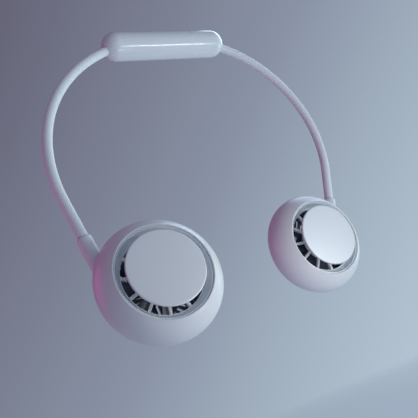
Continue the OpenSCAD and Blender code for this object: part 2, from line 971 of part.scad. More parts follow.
module rear_shell(side) {
    seam_in = oval_r(seam_back, head_wall);
    tongue_low = -seam_back - 2 * seam_gap;
    tongue_top = -seam_back + tongue_h;
    well_h = head_r - post_end - lug_t - 2 * seat_gap;
    color("white")
        in_head(side)
            difference() {
                union() {
                    rotate_extrude()
                        polygon(concat(
                            [[0, -half_depth]],
                            oval_points(-half_depth, -seam_back - seam_gap),
                            oval_points(-seam_back - seam_gap, head_wall - half_depth, head_wall)
                        ));
                    difference() {
                        ring(seam_in - tongue_root, seam_in + tongue_t, tongue_low, tongue_top);
                        on_cuff_axis(boss_r + seat_gap, 0, head_r);
                    }
                    intersection() {
                        cuff_boss();
                        translate([-head_r, -head_r, -seam_back - 2 * head_r - split_gap / 2])
                            cube(2 * head_r);
                    }
                    intersection() {
                        at_posts(-head_r)
                            cylinder(r = screw_head_r + boss_wall, h = well_h);
                        head_solid(head_wall / 2);
                    }
                }
                intake_slots();
                cuff_pocket();
                at_posts(-head_screw_seat) {
                    cylinder(r = screw_hole_r, h = head_r);
                    translate([0, 0, -head_r])
                        cylinder(r = screw_head_r + seat_gap, h = head_r);
                }
            }
}

module head_screws(side) {
    color("silver")
        in_head(side)
            at_posts(-head_screw_seat)
                screw(head_screw_len);
}

module bezel(side) {
    top = lip_z - seat_gap;
    shelf = lip_z - lip_seat - seat_gap;
    edge = opening_r - seat_gap;
    color("silver")
        in_head(side)
            rotate_extrude()
                polygon([
                    [outlet_r, bezel_foot],
                    [outlet_r + bezel_t, bezel_foot],
                    [edge, shelf - flange_t],
                    [edge + lip_shelf, shelf - flange_t],
                    [edge + lip_shelf, shelf],
                    [edge, shelf],
                    [edge, top],
                    [edge - bezel_t / 2, top]
                ]);
}

module outlet_grille(side) {
    outer = outlet_r - seat_gap;
    low = outlet_z - grille_t;
    color("white")
        in_head(side)
            difference() {
                union() {
                    ring(outer - grille_rim, outer, low, outlet_z + grille_lip);
                    ring(outer - grille_rim, duct_out + grille_flange, low, bezel_foot - seat_gap);
                    ring(hub_r - hub_wall, hub_r, low, hub_top);
                    translate([0, 0, hub_top - hub_wall])
                        cylinder(r = hub_r, h = hub_wall);
                    for (i = [0:rib_count - 1])
                        rotate([0, 0, rib_turn + i * 360 / rib_count])
                            translate([hub_r - hub_wall / 2, -rib_w / 2, low])
                                cube([outer - grille_rim / 2 - hub_r + hub_wall / 2, rib_w, grille_t]);
                }
                for (angle = post_angles)
                    rotate([0, 0, angle])
                        translate([peg_out, 0, low])
                            cylinder(r = peg_r + snug_gap, h = hub_top);
            }
}

module front_disc(side) {
    low = disc_top - disc_t;
    chamfer = disc_round / 2;
    color("gainsboro")
        in_head(side)
            union() {
                rotate_extrude()
                    polygon(concat(
                        [[0, hub_top + seat_gap], [disc_boss_r, hub_top + seat_gap], [disc_boss_r, low]],
                        [[disc_r - chamfer, low], [disc_r, low + chamfer]],
                        [for (t = [0:corner_steps]) let (a = 90 * t / corner_steps)
                            [disc_r - disc_round * (1 - cos(a)), disc_top - disc_round * (1 - sin(a))]],
                        [[0, disc_top]]
                    ));
                for (angle = post_angles)
                    rotate([0, 0, angle])
                        translate([peg_out, 0, hub_top - peg_len])
                            cylinder(r = peg_r, h = peg_len + 2 * seat_gap);
            }
}

// The duct round the impeller, with the motor's base on its spokes and a lug at each screw post
module fan_frame(side) {
    lug_r = screw_head_r + boss_wall;
    color("dimgray")
        in_head(side)
            difference() {
                union() {
                    ring(duct_r, duct_out, -frame_back, frame_top);
                    translate([0, 0, -frame_back])
                        cylinder(r = base_r, h = base_t);
                    for (i = [0:spoke_count - 1])
                        rotate([0, 0, (i + 1 / 2) * 360 / spoke_count])
                            translate([base_r / 2, -spoke_w / 2, -frame_back])
                                cube([duct_r + duct_wall / 2 - base_r / 2, spoke_w, base_t]);
                    translate([0, 0, -frame_back])
                        cylinder(r = tube_r, h = frame_back + tube_top);
                    for (angle = post_angles)
                        rotate([0, 0, angle])
                            translate([0, 0, -post_end - lug_t - seat_gap]) {
                                translate([duct_r + duct_wall / 2, -lug_r, 0])
                                    cube([post_out - duct_r - duct_wall / 2, 2 * lug_r, lug_t]);
                                translate([post_out, 0, 0])
                                    cylinder(r = lug_r, h = lug_t);
                            }
                }
                at_posts(-head_r)
                    cylinder(r = screw_hole_r, h = head_r);
                translate([0, 0, tube_floor])
                    cylinder(r = bearing_r - bearing_step, h = head_r);
                translate([0, 0, tube_floor])
                    cylinder(r = bearing_r + run_gap, h = bearing_w + seat_gap);
                translate([0, 0, tube_top - bearing_w - seat_gap])
                    cylinder(r = bearing_r + run_gap, h = head_r);
            }
}

module impeller(side) {
    color("black")
        in_head(side)
            union() {
                difference() {
                    translate([0, 0, cup_low])
                        cylinder(r = cup_r, h = cup_top - cup_low);
                    translate([0, 0, cup_low - overrun])
                        cylinder(r = can_d / 2 + snug_gap, h = cup_top - cup_wall - cup_low + overrun);
                    translate([0, 0, cup_low])
                        cylinder(r = shaft_r + snug_gap, h = cup_top - cup_low - cup_wall / 2);
                }
                intersection() {
                    ring(cup_r - cup_wall / 2, impeller_r, blade_low, blade_low + blade_depth);
                    for (i = [0:blade_count - 1])
                        rotate([0, 0, i * 360 / blade_count])
                            translate([cup_r - cup_wall / 2, 0, blade_low + blade_depth / 2])
                                rotate([blade_angle, 0, 0])
                                    translate([0, -blade_depth, -blade_t / 2])
                                        cube([impeller_r, 2 * blade_depth, blade_t]);
                }
            }
}

module rotor_can(side) {
    color("silver")
        in_head(side)
            translate([0, 0, can_low])
                difference() {
                    cylinder(r = can_d / 2, h = can_top - can_low);
                    translate([0, 0, -overrun])
                        cylinder(r = can_d / 2 - can_wall, h = can_top - can_low - can_wall + overrun);
                    cylinder(r = shaft_r + snug_gap, h = head_r);
                }
}

module magnet_ring(side) {
    color("dimgray")
        in_head(side)
            ring(magnet_in, magnet_in + magnet_t, can_low, can_low + magnet_len);
}

module motor_shaft(side) {
    color("silver")
        in_head(side)
            translate([0, 0, tube_floor + seat_gap])
                cylinder(r = shaft_r, h = cup_top - cup_wall / 2 - seat_gap - tube_floor - seat_gap);
}

module bearings(side) {
    color("silver")
        in_head(side)
            for (z = [tube_floor + seat_gap / 2, tube_top - bearing_w])
                ring(shaft_r + run_gap, bearing_r, z, z + bearing_w);
}

module stator_core(side) {
    color("slategray")
        in_head(side)
            translate([0, 0, stator_low])
                union() {
                    ring(tube_r + snug_gap, tube_r + snug_gap + yoke_t, 0, stator_len);
                    difference() {
                        ring(stator_r - shoe_t, stator_r, 0, stator_len);
                        for (i = [0:tooth_count - 1])
                            rotate([0, 0, (i + 1 / 2) * 360 / tooth_count])
                                translate([0, -tooth_w / 2, -overrun])
                                    cube([head_r, tooth_w, stator_len + 2 * overrun]);
                    }
                    for (i = [0:tooth_count - 1])
                        rotate([0, 0, i * 360 / tooth_count])
                            translate([tube_r + yoke_t / 2, -tooth_w / 2, 0])
                                cube([stator_r - shoe_t / 2 - tube_r - yoke_t / 2, tooth_w, stator_len]);
                }
}

// One flat winding round each tooth
module stator_coils(side) {
    inner = tube_r + snug_gap + yoke_t + coil_gap;
    hole_w = tooth_w + 2 * coil_gap;
    length = sqrt(pow(stator_r - shoe_t - coil_gap, 2) - pow(hole_w / 2 + coil_t, 2)) - inner;
    hole_h = stator_len + 2 * coil_gap;
    color("peru")
        in_head(side)
            for (i = [0:tooth_count - 1])
                rotate([0, 0, i * 360 / tooth_count])
                    translate([inner, 0, stator_low + stator_len / 2])
                        difference() {
                            translate([0, -hole_w / 2 - coil_t, -hole_h / 2 - coil_t])
                                cube([length, hole_w + 2 * coil_t, hole_h + 2 * coil_t]);
                            translate([-overrun, -hole_w / 2, -hole_h / 2])
                                cube([length + 2 * overrun, hole_w, hole_h]);
                        }
}

module motor_board(side) {
    color("seagreen")
        in_head(side)
            ring(tube_r + seat_gap, motor_board_r, -frame_back + base_t + seat_gap,
                -frame_back + base_t + seat_gap + motor_board_t);
}

case_front();
case_rear();
case_screws();
battery_cell();
battery_contacts();
main_board();
tact_switch();
usb_socket();
charge_light();
power_button();
sleeve_root(left);  // left_sleeve_root
sleeve_bend(left);  // left_sleeve_bend
sleeve_end(left);  // left_sleeve_end
gooseneck(left);  // left_gooseneck
motor_leads(left);  // left_motor_leads
arm_ferrule(left);  // left_arm_ferrule
cuff(left);  // left_cuff
swivel_pin(left);  // left_swivel_pin
pin_clip(left);  // left_pin_clip
front_shell(left);  // left_front_shell
rear_shell(left);  // left_rear_shell
head_screws(left);  // left_head_screws
bezel(left);  // left_bezel
outlet_grille(left);  // left_outlet_grille
front_disc(left);  // left_front_disc
fan_frame(left);  // left_fan_frame
impeller(left);  // left_impeller
rotor_can(left);  // left_rotor_can
magnet_ring(left);  // left_magnet_ring
motor_shaft(left);  // left_motor_shaft
bearings(left);  // left_bearings
stator_core(left);  // left_stator_core
stator_coils(left);  // left_stator_coils
motor_board(left);  // left_motor_board
sleeve_root(right);  // right_sleeve_root
sleeve_bend(right);  // right_sleeve_bend
sleeve_end(right);  // right_sleeve_end
gooseneck(right);  // right_gooseneck
motor_leads(right);  // right_motor_leads
arm_ferrule(right);  // right_arm_ferrule
cuff(right);  // right_cuff
swivel_pin(right);  // right_swivel_pin
pin_clip(right);  // right_pin_clip
front_shell(right);  // right_front_shell
rear_shell(right);  // right_rear_shell
head_screws(right);  // right_head_screws
bezel(right);  // right_bezel
outlet_grille(right);  // right_outlet_grille
front_disc(right);  // right_front_disc
fan_frame(right);  // right_fan_frame
impeller(right);  // right_impeller
rotor_can(right);  // right_rotor_can
magnet_ring(right);  // right_magnet_ring
motor_shaft(right);  // right_motor_shaft
bearings(right);  // right_bearings
stator_core(right);  // right_stator_core
stator_coils(right);  // right_stator_coils
motor_board(right);  // right_motor_board
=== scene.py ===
"""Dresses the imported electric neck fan: shells, sleeves, grilles, finishes, lamps and a camera."""

import math

import bmesh
import bpy
from bpy.props import FloatProperty, FloatVectorProperty, IntProperty, PointerProperty
from mathutils import Matrix, Vector


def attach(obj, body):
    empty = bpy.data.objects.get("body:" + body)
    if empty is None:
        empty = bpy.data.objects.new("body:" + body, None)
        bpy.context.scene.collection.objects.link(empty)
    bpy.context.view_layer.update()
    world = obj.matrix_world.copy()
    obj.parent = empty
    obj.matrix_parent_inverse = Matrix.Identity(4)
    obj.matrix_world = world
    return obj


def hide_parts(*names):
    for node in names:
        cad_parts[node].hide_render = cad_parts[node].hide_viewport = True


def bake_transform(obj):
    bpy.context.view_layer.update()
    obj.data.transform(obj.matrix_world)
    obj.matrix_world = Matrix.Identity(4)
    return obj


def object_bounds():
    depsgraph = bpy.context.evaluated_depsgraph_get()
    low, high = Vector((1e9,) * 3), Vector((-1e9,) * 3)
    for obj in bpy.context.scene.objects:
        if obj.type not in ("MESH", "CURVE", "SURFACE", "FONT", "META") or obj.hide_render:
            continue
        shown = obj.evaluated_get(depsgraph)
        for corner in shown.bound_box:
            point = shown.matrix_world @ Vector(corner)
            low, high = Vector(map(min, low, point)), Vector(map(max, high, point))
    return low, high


bl_info = {
    "name": "Electric Neck Fan",
    "version": (1, 0, 0),
    "blender": (4, 5, 0),
    "location": "3D View > Sidebar > Neck Fan",
    "description": "Builds the neck fan's outer pieces and finishes around its packed CAD model",
    "category": "Object",
}

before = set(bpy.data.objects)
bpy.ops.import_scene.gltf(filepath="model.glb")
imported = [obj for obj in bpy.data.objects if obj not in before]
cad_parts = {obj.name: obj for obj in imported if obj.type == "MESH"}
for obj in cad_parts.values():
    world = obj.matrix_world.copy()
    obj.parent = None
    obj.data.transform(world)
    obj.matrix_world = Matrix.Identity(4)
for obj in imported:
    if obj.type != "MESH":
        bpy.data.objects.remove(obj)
CAD_BOX = [list(corner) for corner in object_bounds()]
MM = 0.001
LEFT, RIGHT = 0, 1
SIDES = ("left", "right")
FULL_TURN = 2 * math.pi
SHARP = math.radians(32)
WELD = 0.0001 * MM

# Counts of steps round a circle, round the capsule's end and round a sleeve
ROUND_STEPS = 144
FINE_STEPS = 96
COARSE_STEPS = 32
BALL_STEPS = 32
TUBE_STEPS = 40

# Small sizes that several pieces share
ARM_STEP = 2.5 * MM
OVERRUN = 2 * MM
SNUG_GAP = 0.05 * MM
SEAT_GAP = 0.1 * MM
FREE_GAP = 0.3 * MM
SLEEVE_START = 6.1 * MM
SLEEVE_SEAT = 8 * MM
SOCKET_WIDTH = 8.9 * MM
SOCKET_HEIGHT = 3.2 * MM
SCREW_WELL = 3.8 * MM
SEAM_EDGE = 0.18 * MM
STEM_LENGTH = 4.3 * MM
CUP_WALL = 1.2 * MM
POST_ANGLES = (90, 210, 330)


def length(name, description, millimetres):
    """A length that the user can change, kept in metres."""
    return FloatProperty(
        name=name,
        description=description,
        default=millimetres * MM,
        unit="LENGTH",
        subtype="DISTANCE",
        precision=5,
    )


def angle(name, description, degrees):
    """An angle that the user can change, kept in radians."""
    return FloatProperty(name=name, description=description, default=math.radians(degrees), subtype="ANGLE")


def colour(name, description, *rgb):
    """A colour that the user can change."""
    return FloatVectorProperty(
        name=name,
        description=description,
        default=rgb,
        size=3,
        subtype="COLOR",
        min=0,
        max=1,
    )


# Sizes


class CapsuleSizes(bpy.types.PropertyGroup):
    """The battery capsule that rests on the neck."""

    diameter: length("Diameter", "Outer diameter of the capsule", 23.6)
    length: length("Length", "Length of the capsule over its round ends", 113.8)
    wall: length("Wall", "Wall of the two case halves", 1.8)
    seam_angle: angle("Seam angle", "Angle of the upper seam above the front", 52)
    seam_gap: length("Seam gap", "Gap between the two case halves", 0.08)
    seam_round: length("Seam groove", "Depth of the groove along the seam", 0.14)
    button_diameter: length("Button", "Diameter of the power button", 7.6)
    button_place: length("Button place", "Place of the button along the capsule", 26.4)
    button_angle: angle("Button angle", "Angle of the button above the front", 17)
    button_proud: length("Button height", "How far the button stands proud", 0.25)
    button_gap: length("Button gap", "Gap round the button", 0.15)
    socket_pitch: length("Socket pitch", "Distance from the button to the charging socket", 11.4)
    socket_width: length("Socket width", "Width of the charging socket's hole", 9.2)
    socket_height: length("Socket height", "Height of the charging socket's hole", 3.5)
    light_diameter: length("Light", "Diameter of the charging light's hole", 1.9)


class ArmSizes(bpy.types.PropertyGroup):
    """The two bendable arms and the cuffs on their ends."""

    sleeve_diameter: length("Sleeve", "Outer diameter of the soft sleeve", 7.3)
    sleeve_bore: length("Bore", "Bore of the soft sleeve", 4.2)
    leave_angle: angle("Leaving angle", "Angle at which an arm leaves the capsule, below its axis", 24.8)
    arc_length: length("Curve", "Length of an arm's curved stretch", 162)
    straight_length: length("Straight", "Length of an arm's straight stretch", 76.5)
    left_bend: angle("Left bend", "Bend of the left arm's curve", 73.4)
    right_bend: angle("Right bend", "Bend of the right arm's curve", 86.4)
    left_tilt: angle("Left tilt", "Tilt of the left arm", -4.4)
    right_tilt: angle("Right tilt", "Tilt of the right arm", 4.4)
    flex_share: FloatProperty(
        name="Flex share",
        description="Share of the curve where the arm flexes",
        default=0.42,
    )
    flex_half: length("Flex half length", "Half of the length over which the arm bends at a joint", 17)
    wire_diameter: length("Wire", "Diameter of the wire that holds the arm's shape", 2)
    lead_diameter: length("Lead", "Diameter of each motor lead", 1.2)
    cuff_diameter: length("Cuff", "Diameter of the swivel cuff", 10.2)
    cuff_top: length("Cuff top", "Height of the cuff's top above the middle of the head", 48.5)
    cuff_round: length("Cuff shoulder", "Radius of the cuff's shoulder", 2.4)
    cuff_foot: length("Cuff foot", "Height of the cuff's foot above the middle of the head", 19.01)
    cuff_out: length("Cuff place", "Distance from the head's axis to the cuff's axis", 26.5)
    cuff_back: length("Cuff setback", "Distance of the cuff's axis behind the middle of the head", 8.5)
    left_turn: angle("Left turn", "Turn of the left head on its cuff", -4.4)
    right_turn: angle("Right turn", "Turn of the right head on its cuff", -0.4)


class HeadSizes(bpy.types.PropertyGroup):
    """The two fan heads."""

    diameter: length("Diameter", "Diameter of a fan head", 80)
    depth: length("Depth", "Depth of a fan head", 49.8)
    wall: length("Wall", "Wall of the head's shells", 2)
    opening: length("Opening", "Diameter of the round opening in the front shell", 59.2)
    lip: length("Lip", "Radius of the rounded lip round the opening", 0.9)
    lip_seat: length("Lip seat", "Height of the lip over the bezel's seat", 2.2)
    seam_back: length("Seam", "Distance of the seam behind the middle of the head", 9.5)
    seam_gap: length("Seam gap", "Width of the groove between the shells", 0.5)
    disc_diameter: length("Disc", "Diameter of the front disc", 48.1)
    disc_top: length("Disc height", "Height of the front disc's face above the middle of the head", 21.2)
    disc_thickness: length("Disc thickness", "Thickness of the front disc", 1.9)
    outlet_diameter: length("Outlet", "Diameter of the outlet at the foot of the bezel", 52)
    outlet_height: length("Outlet height", "Height of the outlet grille above the middle of the head", 9.6)
    hub_diameter: length("Hub", "Diameter of the hub that carries the front disc", 32)
    rim_width: length("Rim", "Width of the ring round the outlet", 0.5)
    rib_width: length("Rib width", "Width of each rib across the outlet", 1.9)
    rib_depth: length("Rib depth", "Depth of each rib", 2.1)
    rib_count: IntProperty(name="Ribs", description="Number of ribs across the outlet", default=12)
    rib_turn: angle("Rib turn", "Angle of the first rib", 18)
    shoulder_slots: IntProperty(name="Shoulder slots", description="Slots round the shoulder", default=36)
    back_slots: IntProperty(name="Back slots", description="Slots in the outer ring at the back", default=32)
    slot_width: length("Slot width", "Width of the intake slots", 1.7)
    duct_diameter: length("Duct", "Outer diameter of the duct round the impeller", 52.8)
    impeller_diameter: length("Impeller", "Diameter of the impeller", 49.2)
    cup_diameter: length("Impeller cup", "Diameter of the impeller's cup", 26)
    blade_count: IntProperty(name="Blades", description="Number of impeller blades", default=9)


class FinishColours(bpy.types.PropertyGroup):
    """The colours of what shows."""

    case: colour("Case", "Glossy white of the capsule", 0.74, 0.76, 0.80)
    shell: colour("Shell", "Satin white of the heads", 0.74, 0.755, 0.79)
    sleeve: colour("Sleeve", "Soft white of the sleeves", 0.78, 0.80, 0.84)
    disc: colour("Disc", "Pale lacquer of the front discs", 0.80, 0.83, 0.86)
    bezel: colour("Bezel", "Silver lacquer of the bezels", 0.86, 0.91, 0.97)
    grille: colour("Grille", "Pale plastic of the outlet ribs", 0.93, 0.95, 0.97)
    dark: colour("Dark plastic", "Plastic of the duct and the impeller", 0.060, 0.075, 0.100)


class StageSettings(bpy.types.PropertyGroup):
    """The floor, the lamps and the camera."""

    floor_height: length("Floor", "Height of the floor", -340)
    floor_radius: length("Floor radius", "Radius of the floor", 1400)
    camera_place: FloatVectorProperty(
        name="Camera",
        description="Place of the camera",
        default=(-0.21174, -0.31264, -0.27459),
        subtype="XYZ",
        unit="LENGTH",
    )
    camera_turn: FloatVectorProperty(
        name="Camera turn",
        description="Turn of the camera",
        default=(math.radians(110.88), math.radians(21.72), math.radians(-23.01)),
        subtype="EULER",
    )
    camera_lens: FloatProperty(name="Lens", description="Focal length in millimetres", default=44.785)


def sizes():
    """The scene's property groups, by name."""
    return bpy.context.scene.neck_fan


class NeckFan(bpy.types.PropertyGroup):
    """Everything that can be changed."""

    capsule: PointerProperty(type=CapsuleSizes)
    arm: PointerProperty(type=ArmSizes)
    head: PointerProperty(type=HeadSizes)
    finish: PointerProperty(type=FinishColours)
    stage: PointerProperty(type=StageSettings)


# Places


def turned(axis, radians):
    """A turn about one axis."""
    return Matrix.Rotation(radians, 4, axis)


def moved(x=0, y=0, z=0):
    """A shift."""
    return Matrix.Translation((x, y, z))


def capsule_middle():
    """The frame on the capsule's axis."""
    return moved(z=sizes().capsule.diameter / 2)


def facing(radians):
    """A frame on the capsule's axis whose Z points outward at an angle above the front."""
    return capsule_middle() @ turned("X", math.pi / 2 - radians)


def bend_of(side):
    """The bend of an arm's curve."""
    arm = sizes().arm
    return (arm.left_bend, arm.right_bend)[side]


def bend_radius(side):
    """The radius of an arm's curve."""
    return sizes().arm.arc_length / bend_of(side)


def capsule_end():
    """Distance from the capsule's middle to its ball centres."""
    capsule = sizes().capsule
    return capsule.length / 2 - capsule.diameter / 2


def arm_root(side):
    """The frame at the capsule's ball centre: Z along the arm, X towards the loop's inside."""
    arm = sizes().arm
    mirror = Matrix.Scale(-1, 4, (1, 0, 0)) if side == LEFT else Matrix.Identity(4)
    tilt = (arm.left_tilt, arm.right_tilt)[side]
    plane = capsule_middle() @ turned("X", tilt) @ mirror
    return plane @ moved(x=capsule_end()) @ turned("Y", math.pi / 2 + arm.leave_angle)


def on_curve(side, share):
    """The frame on an arm's curve at a share of its length."""
    bend_r = bend_radius(side)
    start = arm_root(side) @ moved(bend_r, 0, sizes().capsule.diameter / 2)
    return start @ turned("Y", bend_of(side) * share) @ moved(x=-bend_r)


def in_head(side):
    """The head's frame: Z forward, Y up along the cuff, X away from the loop's inside."""
    arm = sizes().arm
    turn = (arm.left_turn, arm.right_turn)[side]
    middle = on_curve(side, 1) @ moved(z=arm.straight_length) @ turned("Z", turn)
    return middle @ moved(arm.cuff_out, -arm.cuff_back) @ turned("Z", math.pi) @ turned("X", -math.pi / 2)


# Shader maths


class Number:
    """One socket of a node tree. Signs between two of them, or one and a plain number, add Math nodes."""

    def __init__(self, tree, socket):
        self.tree = tree
        self.socket = socket

    def maths(self, operation, *values):
        return self.tree.add("ShaderNodeMath", {"operation": operation}, dict(enumerate(values)))

    def __add__(self, other):
        return self.maths("ADD", self, other)

    def __radd__(self, other):
        return self.maths("ADD", other, self)

    def __sub__(self, other):
        return self.maths("SUBTRACT", self, other)

    def __rsub__(self, other):
        return self.maths("SUBTRACT", other, self)

    def __mul__(self, other):
        return self.maths("MULTIPLY", self, other)

    def __rmul__(self, other):
        return self.maths("MULTIPLY", other, self)

    def __truediv__(self, other):
        return self.maths("DIVIDE", self, other)

    def __rtruediv__(self, other):
        return self.maths("DIVIDE", other, self)

    def clamped(self):
        return self.tree.add("ShaderNodeClamp", {}, {"Value": self})


class Shading:
    """The node tree of a material or of the world, under construction."""

    def __init__(self, owner):
        self.owner = owner
        owner.use_nodes = True
        self.nodes = owner.node_tree.nodes
        self.links = owner.node_tree.links
        self.nodes.clear()

    def add(self, kind, settings, sockets, output=0):
        """Adds a node, sets it up, fills its sockets and returns one of its outputs."""
        node = self.nodes.new(kind)
        for key, value in settings.items():
            if key == "stops":
                ramp = node.color_ramp
                while len(ramp.elements) < len(value):
                    ramp.elements.new(1)
                for element, (place, shade) in zip(ramp.elements, value):
                    element.position = place
                    element.color = (*shade, 1)
            else:
                setattr(node, key, value)
        for key, value in sockets.items():
            if isinstance(value, Number):
                self.links.new(value.socket, node.inputs[key])
            elif hasattr(value, "__len__") and len(value) == 3 and node.inputs[key].type == "RGBA":
                node.inputs[key].default_value = (*value, 1)
            else:
                node.inputs[key].default_value = value
        return Number(self, node.outputs[output]) if node.outputs else None

    def place(self):
        """The place on the piece at rest, in metres."""
        return self.add("ShaderNodeTexCoord", {}, {}, output="Object")

    def noise(self, vector, scale, detail=3, roughness=0.55, distortion=0):
        """Soft noise from 0 to 1."""
        sockets = {"Vector": vector, "Scale": scale, "Detail": detail}
        sockets.update({"Roughness": roughness, "Distortion": distortion})
        return self.add("ShaderNodeTexNoise", {"noise_dimensions": "3D"}, sockets)

    def mix(self, factor, first, second):
        """A colour between two colours."""
        return self.add("ShaderNodeMix", {"data_type": "RGBA"}, {0: factor, 6: first, 7: second}, output=2)

    def clouded(self, mask, rgb, darkest, lightest):
        """A colour that varies between a darker and a lighter shade of itself."""
        return self.mix(mask, scaled(rgb, darkest), scaled(rgb, lightest))

    def stretched(self, vector, scale, turn):
        """Places stretched and turned, for scratches, fibres and drawn lines."""
        return self.add("ShaderNodeMapping", {}, {"Vector": vector, "Scale": scale, "Rotation": turn})

    def flecks(self, vector, scale, detail, low, high):
        """Sparse flecks: none where the noise is under one level, full above another."""
        stops = [(0.0, (0, 0, 0)), (low, (0, 0, 0)), (high, (1, 1, 1))]
        noise = self.noise(vector, scale, detail=detail)
        return self.add("ShaderNodeValToRGB", {"stops": stops}, {"Fac": noise})

    def bump(self, height, distance):
        """A normal from a height."""
        return self.add("ShaderNodeBump", {}, {"Height": height, "Distance": distance})


class Finish(Shading):
    """A material under construction."""

    def __init__(self, name):
        super().__init__(bpy.data.materials.new(name))

    def surface(self, base, roughness, normal=None, **constants):
        """The shader and the output: constants are set on the shader's own sockets."""
        sockets = {"Base Color": base, "Roughness": roughness}
        if normal is not None:
            sockets["Normal"] = normal
        sockets.update({key.replace("_", " "): value for key, value in constants.items()})
        shader = self.add("ShaderNodeBsdfPrincipled", {}, sockets)
        self.add("ShaderNodeOutputMaterial", {}, {"Surface": shader})
        return self.owner


def scaled(rgb, share):
    """A colour made lighter or darker."""
    return tuple(channel * share for channel in rgb)


def centred(noise):
    """Noise from 0 to 1 moved to lie about 0."""
    return noise - 0.5


def eased(share):
    """A share from 0 to 1 that leaves 0 and reaches 1 gently."""
    return share * share * (3 - 2 * share)


DUST = (0.93, 0.94, 0.96)
FINISHES = {}


def finish(name):
    """A finish by name, made once."""
    if name not in FINISHES:
        FINISHES[name] = FINISH_MAKERS[name]()
    return FINISHES[name]


def moulded(name, rgb, roughness, grain, coat):
    """Moulded plastic: faint clouding, a fine orange peel, hair scratches and a few specks of dust."""
    tree = Finish(name)
    place = tree.place()
    clouds = tree.noise(place, scale=24, detail=4)
    peel = tree.noise(place, scale=900, detail=2)
    smudge = tree.noise(place, scale=60, detail=5, distortion=0.6)
    along = tree.stretched(place, scale=(90, 900, 2200), turn=(0.3, 0.5, 0.9))
    hairs = tree.flecks(along, scale=1, detail=3, low=0.66, high=0.72)
    dust = tree.flecks(place, scale=520, detail=1, low=0.77, high=0.80)
    base = tree.clouded(clouds, rgb, darkest=0.965, lightest=1.02)
    dust_tint = 0.05
    base = tree.mix(dust * dust_tint, base, DUST)
    smudge_dulling = 0.12
    hair_dulling = 0.05
    dust_dulling = 0.2
    rough = roughness + centred(smudge) * smudge_dulling + hairs * hair_dulling + dust * dust_dulling
    hair_relief = 0.4
    dust_relief = 0.3
    normal = tree.bump(peel - hairs * hair_relief + dust * dust_relief, grain)
    return tree.surface(base, rough.clamped(), normal, Coat_Weight=coat, Coat_Roughness=0.12, IOR=1.47)


def gloss_white():
    """The capsule's and button's glossy white."""
    return moulded("gloss_white", sizes().finish.case, roughness=0.25, grain=0.002 * MM, coat=1.0)


def satin_white():
    """The heads' satin white."""
    return moulded("satin_white", sizes().finish.shell, roughness=0.33, grain=0.008 * MM, coat=0.15)


def grille_white():
    """The outlet ribs' pale moulded plastic."""
    return moulded("grille_white", sizes().finish.grille, roughness=0.38, grain=0.008 * MM, coat=0.1)


def soft_white():
    """The sleeves' soft silicone: matt, faintly clouded and linty."""
    tree = Finish("soft_white")
    place = tree.place()
    clouds = tree.noise(place, scale=35, detail=4)
    skin = tree.noise(place, scale=900, detail=2)
    lint = tree.flecks(place, scale=700, detail=1, low=0.76, high=0.80)
    base = tree.clouded(clouds, sizes().finish.sleeve, darkest=0.955, lightest=1.02)
    lint_tint = 0.04
    base = tree.mix(lint * lint_tint, base, DUST)
    roughness = 0.46
    cloud_dulling = 0.12
    lint_dulling = 0.1
    rough = roughness + centred(clouds) * cloud_dulling + lint * lint_dulling
    lint_relief = 0.3
    normal = tree.bump(skin + lint * lint_relief, 0.002 * MM)
    return tree.surface(base, rough.clamped(), normal, Sheen_Weight=0.12, Sheen_Roughness=0.4, IOR=1.42)


def satin_pale():
    """The front discs' pale lacquer, with a faint pearly grain."""
    tree = Finish("satin_pale")
    place = tree.place()
    clouds = tree.noise(place, scale=30, detail=4)
    flake = tree.noise(place, scale=2600, detail=1)
    smudge = tree.noise(place, scale=75, detail=5, distortion=0.7)
    base = tree.clouded(clouds, sizes().finish.disc, darkest=0.97, lightest=1.02)
    flake_tint = 0.06
    pearl = (0.93, 0.95, 0.98)
    base = tree.mix(flake * flake_tint, base, pearl)
    roughness = 0.42
    smudge_dulling = 0.14
    rough = roughness + centred(smudge) * smudge_dulling
    normal = tree.bump(flake, 0.003 * MM)
    return tree.surface(base, rough.clamped(), normal, Coat_Weight=0.3, Coat_Roughness=0.3, Metallic=0.25)


def satin_silver():
    """The bezels' silver lacquer over a fine metallic flake."""
    tree = Finish("satin_silver")
    rgb = sizes().finish.bezel
    place = tree.place()
    clouds = tree.noise(place, scale=60, detail=4)
    flake = tree.noise(place, scale=3200, detail=2)
    base = tree.clouded(clouds, rgb, darkest=0.9, lightest=1.08)
    flake_tint = 0.25
    flake_shade = 1.5
    base = tree.mix(flake * flake_tint, base, scaled(rgb, flake_shade))
    roughness = 0.3
    cloud_dulling = 0.14
    flake_dulling = 0.06
    rough = roughness + centred(clouds) * cloud_dulling + flake * flake_dulling
    return tree.surface(base, rough.clamped(), tree.bump(flake, 0.004 * MM), Metallic=0.3)


def dark_plastic():
    """The duct's and impeller's dark glass-filled plastic."""
    tree = Finish("dark_plastic")
    rgb = sizes().finish.dark
    place = tree.place()
    fibres = tree.stretched(place, scale=(400, 2400, 900), turn=(0.4, 0.2, 0.8))
    streaks = tree.noise(fibres, scale=1, detail=4)
    clouds = tree.noise(place, scale=120, detail=4)
    base = tree.clouded(clouds, rgb, darkest=0.7, lightest=1.6)
    streak_tint = 0.25
    streak_shade = 3.2
    base = tree.mix(streaks * streak_tint, base, scaled(rgb, streak_shade))
    roughness = 0.36
    streak_dulling = 0.2
    rough = roughness + centred(streaks) * streak_dulling
    return tree.surface(base, rough.clamped(), tree.bump(streaks, 0.01 * MM))


def clear_plastic():
    """The charging light's milky lens."""
    tree = Finish("clear_plastic")
    haze = tree.noise(tree.place(), scale=900, detail=3)
    clear = (0.72, 0.78, 0.74)
    milky = (0.85, 0.90, 0.87)
    base = tree.mix(haze, clear, milky)
    roughness = 0.22
    haze_dulling = 0.1
    rough = roughness + haze * haze_dulling
    return tree.surface(base, rough, tree.bump(haze, 0.004 * MM), Transmission_Weight=0.45, IOR=1.49)


